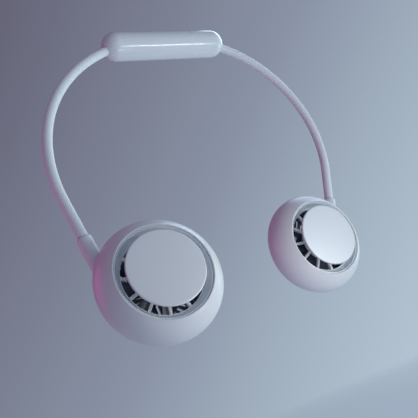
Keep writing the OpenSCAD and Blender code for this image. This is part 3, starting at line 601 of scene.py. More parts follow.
def metal(name, rgb, roughness, brushed=0.5):
    """Metal with fine drawn lines and a little staining."""
    tree = Finish(name)
    place = tree.place()
    along = tree.stretched(place, scale=(300, 3000, 1100), turn=(0.2, 0.7, 0.3))
    lines = tree.noise(along, scale=1, detail=4)
    stains = tree.noise(place, scale=140, detail=4)
    base = tree.clouded(stains, rgb, darkest=0.82, lightest=1.05)
    line_dulling = 0.25
    stain_dulling = 0.1
    rough = roughness + centred(lines) * line_dulling * brushed + centred(stains) * stain_dulling
    line_height = 0.006 * MM
    return tree.surface(base, rough.clamped(), tree.bump(lines, line_height * brushed), Metallic=1.0)


def steel():
    """The screws', pins' and shafts' bright steel."""
    return metal("steel", (0.56, 0.57, 0.60), roughness=0.3)


def nickel():
    """The battery contacts' and bearings' nickel plating."""
    return metal("nickel", (0.66, 0.62, 0.55), roughness=0.26)


def copper():
    """The motor coils' copper wire."""
    return metal("copper", (0.80, 0.36, 0.20), roughness=0.34)


def magnet():
    """The dark sintered magnets and the stator's plates."""
    return metal("magnet", (0.16, 0.16, 0.17), roughness=0.45, brushed=0.2)


def soft_wire():
    """The goosenecks' annealed wire."""
    return metal("soft_wire", (0.60, 0.61, 0.62), roughness=0.38)


def dull(name, rgb, roughness, speckle=0.1, scale=500):
    """A dull moulded or printed finish for what lies inside."""
    tree = Finish(name)
    place = tree.place()
    grain = tree.noise(place, scale=scale, detail=3)
    clouds = tree.noise(place, scale=80, detail=3)
    base = tree.clouded(clouds, rgb, darkest=1 - speckle, lightest=1 + speckle)
    grain_dulling = 0.15
    rough = roughness + centred(grain) * grain_dulling
    return tree.surface(base, rough.clamped(), tree.bump(grain, 0.01 * MM))


def lead_jacket():
    """The motor leads' red jackets."""
    return dull("lead_jacket", (0.55, 0.05, 0.04), roughness=0.45)


def cell_wrap():
    """The battery cell's blue shrink wrap."""
    return dull("cell_wrap", (0.03, 0.10, 0.34), roughness=0.3)


def board_green():
    """The circuit boards' green lacquer."""
    return dull("board_green", (0.02, 0.16, 0.07), roughness=0.35, speckle=0.3, scale=900)


FINISH_MAKERS = {
    "gloss_white": gloss_white,
    "satin_white": satin_white,
    "satin_pale": satin_pale,
    "satin_silver": satin_silver,
    "soft_white": soft_white,
    "grille_white": grille_white,
    "black_plastic": dark_plastic,
    "clear_plastic": clear_plastic,
    "steel": steel,
    "nickel": nickel,
    "copper": copper,
    "magnet": magnet,
    "soft_wire": soft_wire,
    "lead_jacket": lead_jacket,
    "cell_wrap": cell_wrap,
    "board_green": board_green,
}


# Mesh making


def ring_points(profile, count, turn_axis, start, sweep):
    """The points of a profile of (radius, height) pairs, turned round an axis, and whether they close."""
    closed = sweep == FULL_TURN
    turns = count if closed else count + 1
    rings = []
    for i in range(turns):
        t = start + sweep * i / count
        if turn_axis == 2:
            rings.append([Vector((r * math.cos(t), r * math.sin(t), z)) for r, z in profile])
        else:
            rings.append([Vector((z, r * math.cos(t), r * math.sin(t))) for r, z in profile])
    return rings, closed


def revolve(profile, count, turn_axis=2, start=0.0, sweep=FULL_TURN, loop=False):
    """A mesh of revolution. Points on the axis become poles. With loop, the profile's ends are joined too."""
    bm = bmesh.new()
    rings, closed = ring_points(profile, count, turn_axis, start, sweep)
    poles = {k: bm.verts.new(rings[0][k]) for k, (r, z) in enumerate(profile) if abs(r) < WELD}
    verts = [[poles.get(k) or bm.verts.new(p) for k, p in enumerate(ring)] for ring in rings]
    last = len(profile) if loop else len(profile) - 1
    for i in range(len(verts) if closed else len(verts) - 1):
        here, there = verts[i], verts[(i + 1) % len(verts)]
        for k in range(last):
            n = (k + 1) % len(profile)
            corners = []
            for v in (here[k], here[n], there[n], there[k]):
                if v not in corners:
                    corners.append(v)
            if len(corners) > 2:
                bm.faces.new(corners)
    if not closed:
        for ring in (verts[0], verts[-1]):
            bm.faces.new(ring)
    bmesh.ops.recalc_face_normals(bm, faces=bm.faces)
    return bm


def wall_between(bm, here, there):
    """Adds the faces between two closed loops of points."""
    for k in range(len(here)):
        n = (k + 1) % len(here)
        bm.faces.new((here[k], here[n], there[n], there[k]))


def block(low, high):
    """A box between two corners."""
    bm = bmesh.new()
    bmesh.ops.create_cube(bm, size=1)
    low, high = Vector(low), Vector(high)
    for v in bm.verts:
        v.co = Vector(low[k] + (high[k] - low[k]) * (v.co[k] + 0.5) for k in range(3))
    return bm


def rod(radius, low, high, count=64):
    """A cylinder along Z."""
    return revolve([(0, low), (radius, low), (radius, high), (0, high)], count)


def shifted(bm, matrix):
    """A mesh moved by a matrix, turned inside out where the matrix mirrors it."""
    bmesh.ops.transform(bm, matrix=matrix, verts=bm.verts)
    if matrix.determinant() < 0:
        bmesh.ops.reverse_faces(bm, faces=bm.faces)
    return bm


def joined(*meshes):
    """Several meshes in one."""
    whole = bmesh.new()
    for bm in meshes:
        part = bpy.data.meshes.new("part")
        bm.to_mesh(part)
        bm.free()
        whole.from_mesh(part)
        bpy.data.meshes.remove(part)
    return whole


def carved(bm, operation, *tools):
    """A mesh cut by tools, joined to them or cut down to what they share. The tools may not overlap."""
    scene = bpy.context.scene
    made = []
    for piece in (bm, *tools):
        mesh = bpy.data.meshes.new("carving")
        piece.to_mesh(mesh)
        piece.free()
        made.append(bpy.data.objects.new("carving", mesh))
        scene.collection.objects.link(made[-1])
    for tool in made[1:]:
        step = made[0].modifiers.new("carve", "BOOLEAN")
        step.operation = operation
        step.solver = "EXACT"
        step.object = tool
    evaluated = made[0].evaluated_get(bpy.context.evaluated_depsgraph_get())
    result = bmesh.new()
    result.from_mesh(evaluated.to_mesh())
    evaluated.to_mesh_clear()
    if not result.faces:
        raise RuntimeError("a carving left nothing")
    for item in made:
        mesh = item.data
        bpy.data.objects.remove(item)
        bpy.data.meshes.remove(mesh)
    return result


def shown(bm, name, finish_name, matrix=None):
    """The finished piece: smooth where it curves, sharp at its edges, with its finish."""
    if matrix is not None:
        shifted(bm, matrix)
    bmesh.ops.remove_doubles(bm, verts=bm.verts, dist=WELD)
    mesh = bpy.data.meshes.new(name)
    bm.to_mesh(mesh)
    bm.free()
    mesh.shade_smooth()
    mesh.set_sharp_from_angle(angle=SHARP)
    mesh.materials.append(finish(finish_name))
    piece = bpy.data.objects.new(name, mesh)
    bpy.context.scene.collection.objects.link(piece)
    return piece


def arc(centre_r, centre_z, radius, start, end, steps=6):
    """Points of a circular corner, between two angles in degrees."""
    turns = [math.radians(start + (end - start) * i / steps) for i in range(steps + 1)]
    return [(centre_r + radius * math.cos(t), centre_z + radius * math.sin(t)) for t in turns]


# Capsule


def capsule_profile(inset=0.0):
    """Half of the capsule's outline as (radius, place along it), from one end to the other."""
    r = sizes().capsule.diameter / 2 - inset
    end = capsule_end()
    turns = [math.pi / 2 * i / BALL_STEPS for i in range(BALL_STEPS + 1)]
    left = [(r * math.sin(t), -end - r * math.cos(t)) for t in turns]
    right = [(radius, -x) for radius, x in reversed(left)]
    return left + right


def case_half(front):
    """Half of the capsule's shell."""
    capsule = sizes().capsule
    outline = capsule_profile() + capsule_profile(capsule.wall)[::-1]
    # The turn starts at the upper seam and goes half round the capsule, over its front or its rear
    way = 1 if front else -1
    start = math.pi - capsule.seam_angle
    bm = revolve(outline, ROUND_STEPS // 2, turn_axis=0, start=start, sweep=way * math.pi, loop=True)
    away = Vector((0, -math.sin(capsule.seam_angle), -math.cos(capsule.seam_angle)))
    bmesh.ops.translate(bm, verts=bm.verts, vec=away * (way * capsule.seam_gap / 2))
    return shifted(bm, capsule_middle())


def seam_groove():
    """The tool that cuts the fine groove along the seam: a flat band round the capsule's outline."""
    capsule = sizes().capsule
    bm = bmesh.new()
    half = capsule.seam_round
    loops = []
    for inset, height in ((half, -half), (-OVERRUN, -half), (-OVERRUN, half), (half, half)):
        outline = capsule_profile(inset)
        outline += [(-r, x) for r, x in outline[-2:0:-1]]
        loops.append([bm.verts.new((x, r, height)) for r, x in outline])
    for k, loop in enumerate(loops):
        wall_between(bm, loop, loops[(k + 1) % len(loops)])
    bmesh.ops.recalc_face_normals(bm, faces=bm.faces)
    return shifted(bm, facing(capsule.seam_angle - math.pi / 2))


def clear_of_case():
    """Distance from the capsule's axis to where its tools end, clear of the case."""
    reach_share = 1.5
    return sizes().capsule.diameter / 2 * reach_share


def arm_hole(side):
    """The tool that opens the case for an arm."""
    hole_r = sizes().arm.sleeve_diameter / 2 + SNUG_GAP
    return shifted(rod(hole_r, 0, sizes().capsule.diameter), arm_root(side))


def button_hole():
    """The tool that opens the case for the power button."""
    capsule = sizes().capsule
    hole_r = capsule.button_diameter / 2 + capsule.button_gap
    hole = rod(hole_r, capsule.diameter / 4, clear_of_case(), FINE_STEPS)
    return shifted(hole, facing(capsule.button_angle) @ moved(x=capsule.button_place))


def round_slot(width, height, corner, high):
    """A round-cornered prism along Y."""
    outline = []
    for sx, sz, start in ((1, 1, 0), (-1, 1, 90), (-1, -1, 180), (1, -1, 270)):
        outline += arc(sx * (width / 2 - corner), sz * (height / 2 - corner), corner, start, start + 90)
    bm = bmesh.new()
    near = [bm.verts.new((x, 0, z)) for x, z in outline]
    far = [bm.verts.new((x, high, z)) for x, z in outline]
    wall_between(bm, near, far)
    bm.faces.new(near[::-1])
    bm.faces.new(far)
    bmesh.ops.recalc_face_normals(bm, faces=bm.faces)
    return bm


def socket_place():
    """Place of the charging socket along the capsule."""
    return sizes().capsule.button_place + sizes().capsule.socket_pitch


def socket_hole():
    """The tool that opens the case for the charging plug."""
    capsule = sizes().capsule
    corner = 1.25 * MM
    board_lift = 3 * MM
    board_thickness = 1.2 * MM
    z = board_lift - board_thickness - SOCKET_HEIGHT / 2 - SNUG_GAP
    hole = round_slot(capsule.socket_width, capsule.socket_height, corner, clear_of_case())
    return shifted(hole, facing(capsule.button_angle) @ moved(socket_place(), 0, z))


def light_hole():
    """The tool that opens the case for the charging light."""
    capsule = sizes().capsule
    pipe_diameter = 1.8 * MM
    pipe_flange = 0.6 * MM
    x = socket_place() - SOCKET_WIDTH / 2 - pipe_diameter - pipe_flange
    hole = rod(capsule.light_diameter / 2, 0, clear_of_case(), COARSE_STEPS)
    return shifted(hole, facing(capsule.button_angle) @ moved(x=x) @ turned("X", -math.pi / 2))


def screw_well(way):
    """The tool that cuts the well of one of the case's screws, at either end of the capsule."""
    seat = 5.4 * MM
    past_end = 2.8 * MM
    aside = 3.2 * MM
    well = rod(SCREW_WELL / 2, seat, clear_of_case(), COARSE_STEPS)
    place = moved(way * (capsule_end() + past_end), aside)
    return shifted(well, facing(sizes().capsule.seam_angle - math.pi / 2) @ place @ turned("X", math.pi))


def make_case():
    """The two case halves."""
    rear_holes = [socket_hole(), light_hole(), screw_well(-1), screw_well(1)]
    for word, holes in (("front", [button_hole()]), ("rear", rear_holes)):
        tools = [seam_groove(), arm_hole(LEFT), arm_hole(RIGHT), *holes]
        half = carved(case_half(word == "front"), "DIFFERENCE", *tools)
        piece = shown(half, f"capsule_{word}", "gloss_white")
        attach(piece, "capsule")
        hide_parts(f"case_{word}")


def make_button():
    """The power button: a disc whose top follows the capsule's curve, with a soft edge."""
    capsule = sizes().capsule
    r = capsule.button_diameter / 2
    top = capsule.diameter / 2 + capsule.button_proud
    edge = 0.25 * MM
    thickness = 1.6 * MM
    rings = 10
    flat = [(r * k / rings, 0) for k in range(rings)]
    profile = flat + arc(r - edge, -edge, edge, 90, 0, 5) + [(r, -thickness), (0, -thickness)]
    bm = revolve(profile, FINE_STEPS)
    for v in bm.verts:
        v.co.z += math.sqrt(top**2 - v.co.y**2)
    place = facing(capsule.button_angle) @ moved(x=capsule.button_place)
    piece = shown(bm, "button_cap", "gloss_white", place)
    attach(piece, "power_button")
    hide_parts("power_button")


# Arms


def lead_in():
    """Length of an arm inside the capsule's ball."""
    return sizes().capsule.diameter / 2


def flex_places():
    """Distances along an arm to the two places where it flexes."""
    arm = sizes().arm
    return lead_in() + arm.arc_length * arm.flex_share, lead_in() + arm.arc_length


def arm_frames(side, start, end):
    """Frames along an arm, from one distance to another. Zero is at the capsule's ball centre."""
    curve = sizes().arm.arc_length
    fewest = 2
    count = max(fewest, round((end - start) / ARM_STEP))
    frames = []
    for i in range(count + 1):
        s = start + (end - start) * i / count
        if s < lead_in():
            frames.append(arm_root(side) @ moved(z=s))
        elif s < lead_in() + curve:
            frames.append(on_curve(side, (s - lead_in()) / curve))
        else:
            frames.append(on_curve(side, 1) @ moved(z=s - lead_in() - curve))
    return frames


def tube(frames, radius, off, bore):
    """A tube or rod through frames, hollow where it has a bore."""
    bm = bmesh.new()
    turns = [FULL_TURN * k / TUBE_STEPS for k in range(TUBE_STEPS)]

    def rings(r):
        circle = [Vector((off[0] + r * math.cos(t), off[1] + r * math.sin(t), 0)) for t in turns]
        return [[bm.verts.new(m @ point) for point in circle] for m in frames]

    def wall(loops):
        for here, there in zip(loops, loops[1:]):
            wall_between(bm, here, there)

    outside = rings(radius)
    wall(outside)
    if bore:
        inside = rings(bore)
        wall(inside)
        wall_between(bm, outside[0], inside[0])
        wall_between(bm, outside[-1], inside[-1])
    else:
        bm.faces.new(outside[0])
        bm.faces.new(outside[-1])
    bmesh.ops.recalc_face_normals(bm, faces=bm.faces)
    return bm


def blend_ends(side, middle):
    """The two points between which the arm bends round a joint at a distance along it."""
    half = sizes().arm.flex_half
    frames = arm_frames(side, middle - half, middle + half)
    return frames[0].translation, frames[-1].translation


def arm_strand(side, name, finish_name, nodes, start, end, radius, off=(0, 0), bore=0.0):
    """One sleeve, wire or lead as two lengths, each spanning one joint of the arm."""
    word = SIDES[side]
    spread, reach = flex_places()
    middle = (spread + reach) / 2
    for part, first, last, bodies, joint in (
        ("upper", start, middle, ("capsule", f"{word}_arm_middle"), spread),
        ("lower", middle, end, (f"{word}_arm_middle", f"{word}_arm_lower"), reach),
    ):
        bm = tube(arm_frames(side, first, last), radius, off, bore)
        piece = shown(bm, f"{word}_{name}_{part}", finish_name)
        blend_ends(side, joint)
        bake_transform(piece)
    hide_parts(*nodes)


def sleeve_end():
    """Distance along an arm to the sleeve's end in its cuff."""
    arm = sizes().arm
    return lead_in() + arm.arc_length + arm.straight_length - arm.cuff_top + SLEEVE_SEAT


def make_sleeves():
    """The soft sleeves."""
    arm = sizes().arm
    r, bore = arm.sleeve_diameter / 2, arm.sleeve_bore / 2
    for side, word in enumerate(SIDES):
        nodes = [f"{word}_sleeve_{part}" for part in ("root", "bend", "end")]
        arm_strand(side, "sleeve", "soft_white", nodes, SLEEVE_START, sleeve_end(), r, bore=bore)


def make_wires():
    """The wires in the sleeves that hold the arms' shape."""
    arm = sizes().arm
    wall_gap = 0.12 * MM
    tail = 0.8 * MM
    past_sleeve = 8 * MM
    off = arm.sleeve_bore / 2 - arm.wire_diameter / 2 - wall_gap
    start = SLEEVE_START - tail
    end = sleeve_end() + past_sleeve
    for side, word in enumerate(SIDES):
        nodes = [f"{word}_gooseneck"]
        arm_strand(side, "wire", "soft_wire", nodes, start, end, arm.wire_diameter / 2, (-off, 0))


def make_leads():
    """The two motor leads of each arm, in the sleeve and the hollow pin."""
    arm = sizes().arm
    r = arm.lead_diameter / 2
    wall_gap = 0.45 * MM
    part_gap = 0.08 * MM
    tail = 1.8 * MM
    short_of_foot = 10 * MM
    off = arm.sleeve_bore / 2 - r - wall_gap
    start = SLEEVE_START - tail
    end = lead_in() + arm.arc_length + arm.straight_length - short_of_foot
    for side, word in enumerate(SIDES):
        for way, tag in ((-1, "a"), (1, "b")):
            nodes = [f"{word}_motor_leads"] if way < 0 else []
            aside = way * (r + part_gap)
            arm_strand(side, f"lead_{tag}", "lead_jacket", nodes, start, end, r, (off, aside))


def make_cuffs():
    """The swivel cuffs, with a rounded shoulder, a bore for the sleeve and a softened foot."""
    arm = sizes().arm
    r = arm.cuff_diameter / 2
    top = arm.straight_length - arm.cuff_top
    foot = arm.straight_length - arm.cuff_foot
    soft = 0.3 * MM
    seat_r = arm.sleeve_diameter / 2 + SNUG_GAP
    seat = top + SLEEVE_SEAT
    bore_r = arm.sleeve_bore / 2
    profile = [(bore_r, foot), (bore_r, seat), (seat_r, seat), (seat_r, top + soft)]
    profile += arc(seat_r + soft, top + soft, soft, 180, 270, 4)
    profile += arc(r - arm.cuff_round, top + arm.cuff_round, arm.cuff_round, 270, 360, 14)
    profile += arc(r - soft, foot - soft, soft, 0, 90, 4)
    for side, word in enumerate(SIDES):
        bm = revolve(profile, FINE_STEPS, loop=True)
        piece = shown(bm, f"{word}_swivel_cuff", "satin_white", on_curve(side, 1))
        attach(piece, f"{word}_arm_lower")
        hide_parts(f"{word}_cuff")


# Heads


def oval_r(z, inset=0.0):
    """The head's radius at a height."""
    head = sizes().head
    return (head.diameter / 2 - inset) * math.sqrt(max(0, 1 - (z / (head.depth / 2 - inset)) ** 2))


def oval_z(r, inset=0.0):
    """The head's height at a radius."""
    head = sizes().head
    return (head.depth / 2 - inset) * math.sqrt(1 - (r / (head.diameter / 2 - inset)) ** 2)


def oval_points(low, high, inset, steps):
    """Points of the head's section between two heights."""
    head = sizes().head
    a, c = head.diameter / 2 - inset, head.depth / 2 - inset
    start, end = math.asin(low / c), math.asin(high / c)
    turns = [start + (end - start) * i / steps for i in range(steps + 1)]
    return [(a * math.cos(t), c * math.sin(t)) for t in turns]


def lip_height():
    """Height of the middle of the opening's rounded lip."""
    head = sizes().head
    return oval_z(head.opening / 2 + head.lip) - head.lip


def cuff_tool(radius, low, high):
    """A cylinder on the cuff's axis in the head's frame."""
    arm = sizes().arm
    place = moved(arm.cuff_out, 0, -arm.cuff_back) @ turned("X", -math.pi / 2)
    return shifted(rod(radius, low, high, FINE_STEPS), place)


def pocket_tools():
    """The tools that open the cuff's pocket, the hole for its pin and the room for the pin's clip."""
    arm = sizes().arm
    head_r = sizes().head.diameter / 2
    floor = arm.cuff_foot - FREE_GAP
    hole_r = 3.05 * MM
    hole_depth = 6 * MM
    lap = 1 * MM
    clip_r = 4.5 * MM
    clip_low = 3 * MM
    clip_high = 1.5 * MM
    return [
        cuff_tool(arm.cuff_diameter / 2 + FREE_GAP, floor, head_r + OVERRUN),
        cuff_tool(hole_r, floor - hole_depth, floor + lap),
        cuff_tool(clip_r, floor - clip_low, floor - clip_high),
    ]


def cuff_boss(front):
    """The wall round the cuff's pocket in one of the shells."""
    head, arm = sizes().head, sizes().arm
    wall = 1.5 * MM
    floor = 1.8 * MM
    boss = cuff_tool(arm.cuff_diameter / 2 + wall, arm.cuff_foot - floor, head.diameter / 2)
    inset = head.wall / 2
    half = head.depth / 2 - inset
    near_pole = half * 0.999
    outline = [(0, -half)] + oval_points(-near_pole, near_pole, inset, steps=40) + [(0, half)]
    inside = revolve(outline, FINE_STEPS)
    duct = rod(head.duct_diameter / 2 + FREE_GAP, -head.depth, head.depth, FINE_STEPS)
    far = head.diameter
    gap = 0.04 * MM
    if front:
        side = block((-far, -far, -head.seam_back + gap), (far, far, far))
    else:
        side = block((-far, -far, -far), (far, far, -head.seam_back - gap))
    return carved(carved(boss, "INTERSECT", inside, side), "DIFFERENCE", duct)


def front_shell():
    """The front shell in the head's frame: an oval skin with a rounded lip round its opening."""
    head = sizes().head
    lip_z = lip_height()
    opening_r = head.opening / 2
    low = -head.seam_back
    outer = oval_points(low + SEAM_EDGE, lip_z + head.lip, 0, steps=48)
    inner = oval_points(lip_z - head.lip_seat, low, head.wall, steps=40)
    lip = arc(opening_r + head.lip, lip_z, head.lip, 90, 180, 8)
    foot = [(oval_r(low + SEAM_EDGE) - SEAM_EDGE, low)]
    profile = foot + outer + lip[1:] + [(opening_r, lip_z - head.lip_seat)] + inner
    bm = revolve(profile, ROUND_STEPS, loop=True)
    return carved(carved(bm, "UNION", cuff_boss(True)), "DIFFERENCE", *pocket_tools())


def slot_at(turn, inner_r, outer_r, low, high):
    """The tool that cuts one intake slot, at a turn round the head's axis."""
    half = sizes().head.slot_width / 2
    return shifted(block((inner_r, -half, low), (outer_r, half, high)), turned("Z", turn))


def slot_tools():
    """The tools that cut the intake slots: round the shoulder and in two rings at the back."""
    head = sizes().head
    r = head.diameter / 2
    tools = []
    post_room = 6
    pocket_from = 28
    pocket_to = 66
    shoulder_from = r * 0.76
    shoulder_to = r * 1.2
    shoulder_drop = 1.4 * MM
    for i in range(head.shoulder_slots):
        turn = i * 360 / head.shoulder_slots
        at_post = min(abs(turn - post) for post in POST_ANGLES) <= post_room
        at_pocket = pocket_from <= turn <= pocket_to
        if not at_post and not at_pocket:
            high = -head.seam_back - shoulder_drop
            tools.append(slot_at(math.radians(turn), shoulder_from, shoulder_to, -head.depth / 2, high))
    middle = r * 0.43
    step = r * 0.055
    ring_from = r * 0.19
    ring_to = r * 0.665
    for count, inner_r, outer_r in (
        (head.back_slots, middle + step / 2, ring_to),
        (head.back_slots // 2, ring_from, middle - step / 2),
    ):
        for i in range(count):
            turn = FULL_TURN * (i + 0.5) / count
            tools.append(slot_at(turn, inner_r, outer_r, -head.depth / 2 - OVERRUN, -head.depth / 4))
    return joined(*tools)


def seam_tongue():
    """The rear shell's tongue, which the front shell slides over."""
    head = sizes().head
    root = 0.5 * MM
    thickness = 1.05 * MM
    rise = 1.5 * MM
    inner = oval_r(-head.seam_back, head.wall) - root
    outer = oval_r(-head.seam_back, head.wall) + thickness
    low = -head.seam_back - head.seam_gap - root
    high = -head.seam_back + rise
    tongue = revolve([(inner, low), (outer, low), (outer, high), (inner, high)], ROUND_STEPS, loop=True)
    cuff_room = 6.7 * MM
    return carved(tongue, "DIFFERENCE", cuff_tool(cuff_room, 0, head.diameter / 2))


def head_screw_wells():
    """The tools that cut the wells of the head's screws."""
    head = sizes().head
    seat_drop = 2.7 * MM
    post_inset = 9.2 * MM
    seat = -head.seam_back - seat_drop
    out = head.diameter / 2 - post_inset
    places = [turned("Z", math.radians(post)) @ moved(x=out) for post in POST_ANGLES]
    return [shifted(rod(SCREW_WELL / 2, -head.depth, seat, count=40), place) for place in places]


def rear_shell():
    """The rear shell in the head's frame, with its intake slots and screw wells."""
    head = sizes().head
    back = -head.depth / 2
    inside = head.wall - head.depth / 2
    near_pole = 0.9999
    high = -head.seam_back - head.seam_gap
    outer = oval_points(back * near_pole, high - SEAM_EDGE, 0, steps=40)
    inner = oval_points(high, inside * near_pole, head.wall, steps=36)
    rim = [(oval_r(high - SEAM_EDGE) - SEAM_EDGE, high)]
    bm = revolve([(0, back)] + outer + rim + inner + [(0, inside)], ROUND_STEPS)
    bm = carved(bm, "UNION", seam_tongue(), cuff_boss(False))
    return carved(bm, "DIFFERENCE", slot_tools(), *pocket_tools(), *head_screw_wells())


def both_heads(bm, name, finish_name, node, body):
    """A head's piece, made once and placed in both heads."""
    twin = bm.copy()
    for side, part in ((LEFT, bm), (RIGHT, twin)):
        word = SIDES[side]
        piece = shown(part, f"{word}_{name}", finish_name, in_head(side))
        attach(piece, f"{word}_{body}")
        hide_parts(f"{word}_{node}")


def make_shells():
    """The front and rear shells of both heads."""
    both_heads(front_shell(), "head_front", "satin_white", "front_shell", "head")
    both_heads(rear_shell(), "head_rear", "satin_white", "rear_shell", "head")


def make_bezels():
    """The conical bezels between the lip and the outlet, with a rolled foot and a softened rim."""
    head = sizes().head
    flange = 1.3 * MM
    flange_thickness = 0.9 * MM
    foot_width = 1.2 * MM
    foot_drop = 0.4 * MM
    rim = 0.5 * MM
    soft = 0.12 * MM
    top = lip_height() - SEAT_GAP
    shelf = lip_height() - head.lip_seat - SEAT_GAP
    edge = head.opening / 2 - SEAT_GAP
    foot_r = head.outlet_diameter / 2
    foot_z = head.outlet_height - foot_drop
    under = shelf - flange_thickness
    profile = [(foot_r, foot_z), (foot_r + foot_width, foot_z), (edge, under), (edge + flange, under)]
    profile += [(edge + flange, shelf), (edge, shelf), (edge, top - soft)]
    profile += [(edge - soft, top), (edge - rim, top)]
    cone_top = Vector((edge - rim - SEAT_GAP, top))
    cone = Vector((foot_r, foot_z)) - cone_top
    bow = Vector((-cone.y, cone.x)).normalized() * soft
    steps = 12
    for i in range(1, steps):
        t = i / steps
        profile.append((cone_top + cone * t + bow * math.sin(math.pi * t)).to_tuple())
    both_heads(revolve(profile, ROUND_STEPS, loop=True), "outlet_bezel", "satin_silver", "bezel", "head")


def grille_rim():
    """The grille's ring, which sits between the bezel's foot and the duct."""
    head = sizes().head
    flange = 1.2 * MM
    flange_drop = 0.5 * MM
    lip = 0.6 * MM
    soft = 0.12 * MM
    outer = head.outlet_diameter / 2 - SEAT_GAP
    inner = outer - head.rim_width
    flange_r = head.duct_diameter / 2 + flange
    low = head.outlet_height - head.rib_depth
    flange_top = head.outlet_height - flange_drop
    top = head.outlet_height + lip
    profile = [(inner, low), (flange_r, low), (flange_r, flange_top), (outer, flange_top)]
    profile += [(outer, top - soft), (outer - soft, top), (inner + soft, top), (inner, top - soft)]
    return revolve(profile, ROUND_STEPS, loop=True)


def hub_top():
    """Height of the hub's top, in which the disc's stem sits."""
    head = sizes().head
    return head.disc_top - head.disc_thickness - STEM_LENGTH


def grille_hub():
    """The grille's hub: a cup that carries the front disc."""
    head = sizes().head
    r = head.hub_diameter / 2
    wall = 1.5 * MM
    soft = 0.4 * MM
    low = head.outlet_height - head.rib_depth
    profile = [(r - wall, low), (r, low), (r, hub_top() - soft)]
    profile += arc(r - soft, hub_top() - soft, soft, 0, 90, 4)
    profile += [(0, hub_top()), (0, hub_top() - wall), (r - wall, hub_top() - wall)]
    return revolve(profile, ROUND_STEPS, loop=True)


def grille_rib():
    """One of the grille's ribs, with a crowned top, from the hub's wall to the rim."""
    head = sizes().head
    low, high = head.outlet_height - head.rib_depth, head.outlet_height
    half = head.rib_width / 2
    crown = 0.25 * MM
    in_hub = 0.75 * MM
    section = [(-half, low), (half, low), (half, high - crown)]
    section += [(half - crown, high), (crown - half, high), (-half, high - crown)]
    inner = head.hub_diameter / 2 - in_hub
    outer = head.outlet_diameter / 2 - SEAT_GAP - head.rim_width / 2
    rib = bmesh.new()
    ends = [[rib.verts.new((x, y, z)) for y, z in section] for x in (inner, outer)]
    wall_between(rib, *ends)
    rib.faces.new(ends[0])
    rib.faces.new(ends[1])
    bmesh.ops.recalc_face_normals(rib, faces=rib.faces)
    return rib


def make_grilles():
    """The outlet grilles: a rim, a hub cup and ribs."""
    head = sizes().head
    turns = [head.rib_turn + FULL_TURN * i / head.rib_count for i in range(head.rib_count)]
    ribs = joined(*[shifted(grille_rib(), turned("Z", turn)) for turn in turns])
    bm = carved(carved(grille_rim(), "UNION", grille_hub()), "UNION", ribs)
    both_heads(bm, "outlet_ribs", "grille_white", "outlet_grille", "head")


def make_discs():
    """The front discs: a nearly flat lacquered face with a soft edge, on a short stem."""
    head = sizes().head
    r, top = head.disc_diameter / 2, head.disc_top
    low = top - head.disc_thickness
    stem_inset = 0.5 * MM
    stem_r = head.hub_diameter / 2 - stem_inset
    soft = 0.7 * MM
    under_soft = 0.4 * MM
    fall = 0.25 * MM
    face_r = r * 0.97
    rings = 24
    face = [(face_r * k / rings, top - fall * (k / rings) ** 3) for k in range(rings + 1)]
    profile = face + arc(r - soft, top - fall - soft, soft, 78, 0, 8)
    profile += [(r, low + under_soft), (r - under_soft, low), (stem_r, low)]
    profile += [(stem_r, hub_top() + SEAT_GAP), (0, hub_top() + SEAT_GAP)]
    both_heads(revolve(profile, ROUND_STEPS), "disc_face", "satin_pale", "front_disc", "head")


def impeller_cup():
    """The impeller's cup, open at the back for the motor."""
    r = sizes().head.cup_diameter / 2
    top = 5.8 * MM
    low = -5.2 * MM
    soft = 1.2 * MM
    inner_r = 11.55 * MM
    profile = [(0, top)] + arc(r - soft, top - soft, soft, 90, 0, 6)
    profile += [(r, low), (inner_r, low), (inner_r, top - CUP_WALL), (0, top - CUP_WALL)]
    return revolve(profile, FINE_STEPS)


def blade_point(u, v, face):
    """A point of a blade's front or back: u from root to tip, v across the chord from -0.5 to 0.5."""
    head = sizes().head
    chord = 11 * MM
    edge = 0.18 * MM
    swell = 0.42 * MM
    swell_power = 0.8
    bow = 0.6 * MM
    lift = 0.1 * MM
    sweep = 0.12
    root_pitch = 44
    twist = 13
    root_r = head.cup_diameter / 2 - CUP_WALL / 2
    r = root_r + (head.impeller_diameter / 2 - root_r) * u
    pitch = math.radians(root_pitch - twist * u)
    thick = face * (edge + swell * math.cos(math.pi * v) ** swell_power)
    swing = (chord * v * math.cos(pitch) - thick * math.sin(pitch)) / r + sweep * u
    z = chord * v * math.sin(pitch) + thick * math.cos(pitch) + bow * math.cos(math.pi * v) + lift
    return r * math.cos(swing), r * math.sin(swing), z


def impeller_blade():
    """One twisted blade that thins towards its edges."""
    steps = 10
    blade = bmesh.new()
    grids = []
    for face in (1, -1):
        grid = []
        for a in range(steps + 1):
            points = [blade_point(a / steps, b / steps - 0.5, face) for b in range(steps + 1)]
            grid.append([blade.verts.new(point) for point in points])
        grids.append(grid)
        for a in range(steps):
            for b in range(steps):
                blade.faces.new((grid[a][b], grid[a][b + 1], grid[a + 1][b + 1], grid[a + 1][b]))
    upper, under = grids
    rim = [(0, b) for b in range(steps + 1)] + [(a, steps) for a in range(1, steps + 1)]
    rim += [(steps, b) for b in range(steps - 1, -1, -1)] + [(a, 0) for a in range(steps - 1, 0, -1)]
    wall_between(blade, [upper[a][b] for a, b in rim], [under[a][b] for a, b in rim])
    bmesh.ops.recalc_face_normals(blade, faces=blade.faces)
    return blade


def make_impellers():
    """The impellers: a cup and twisted blades."""
    count = sizes().head.blade_count
    turns = [FULL_TURN * i / count for i in range(count)]
    blades = joined(*[shifted(impeller_blade(), turned("Z", turn)) for turn in turns])
    bm = carved(impeller_cup(), "UNION", blades)
    both_heads(bm, "fan_wheel", "black_plastic", "impeller", "impeller")


# Finishes on the CAD pieces that stay


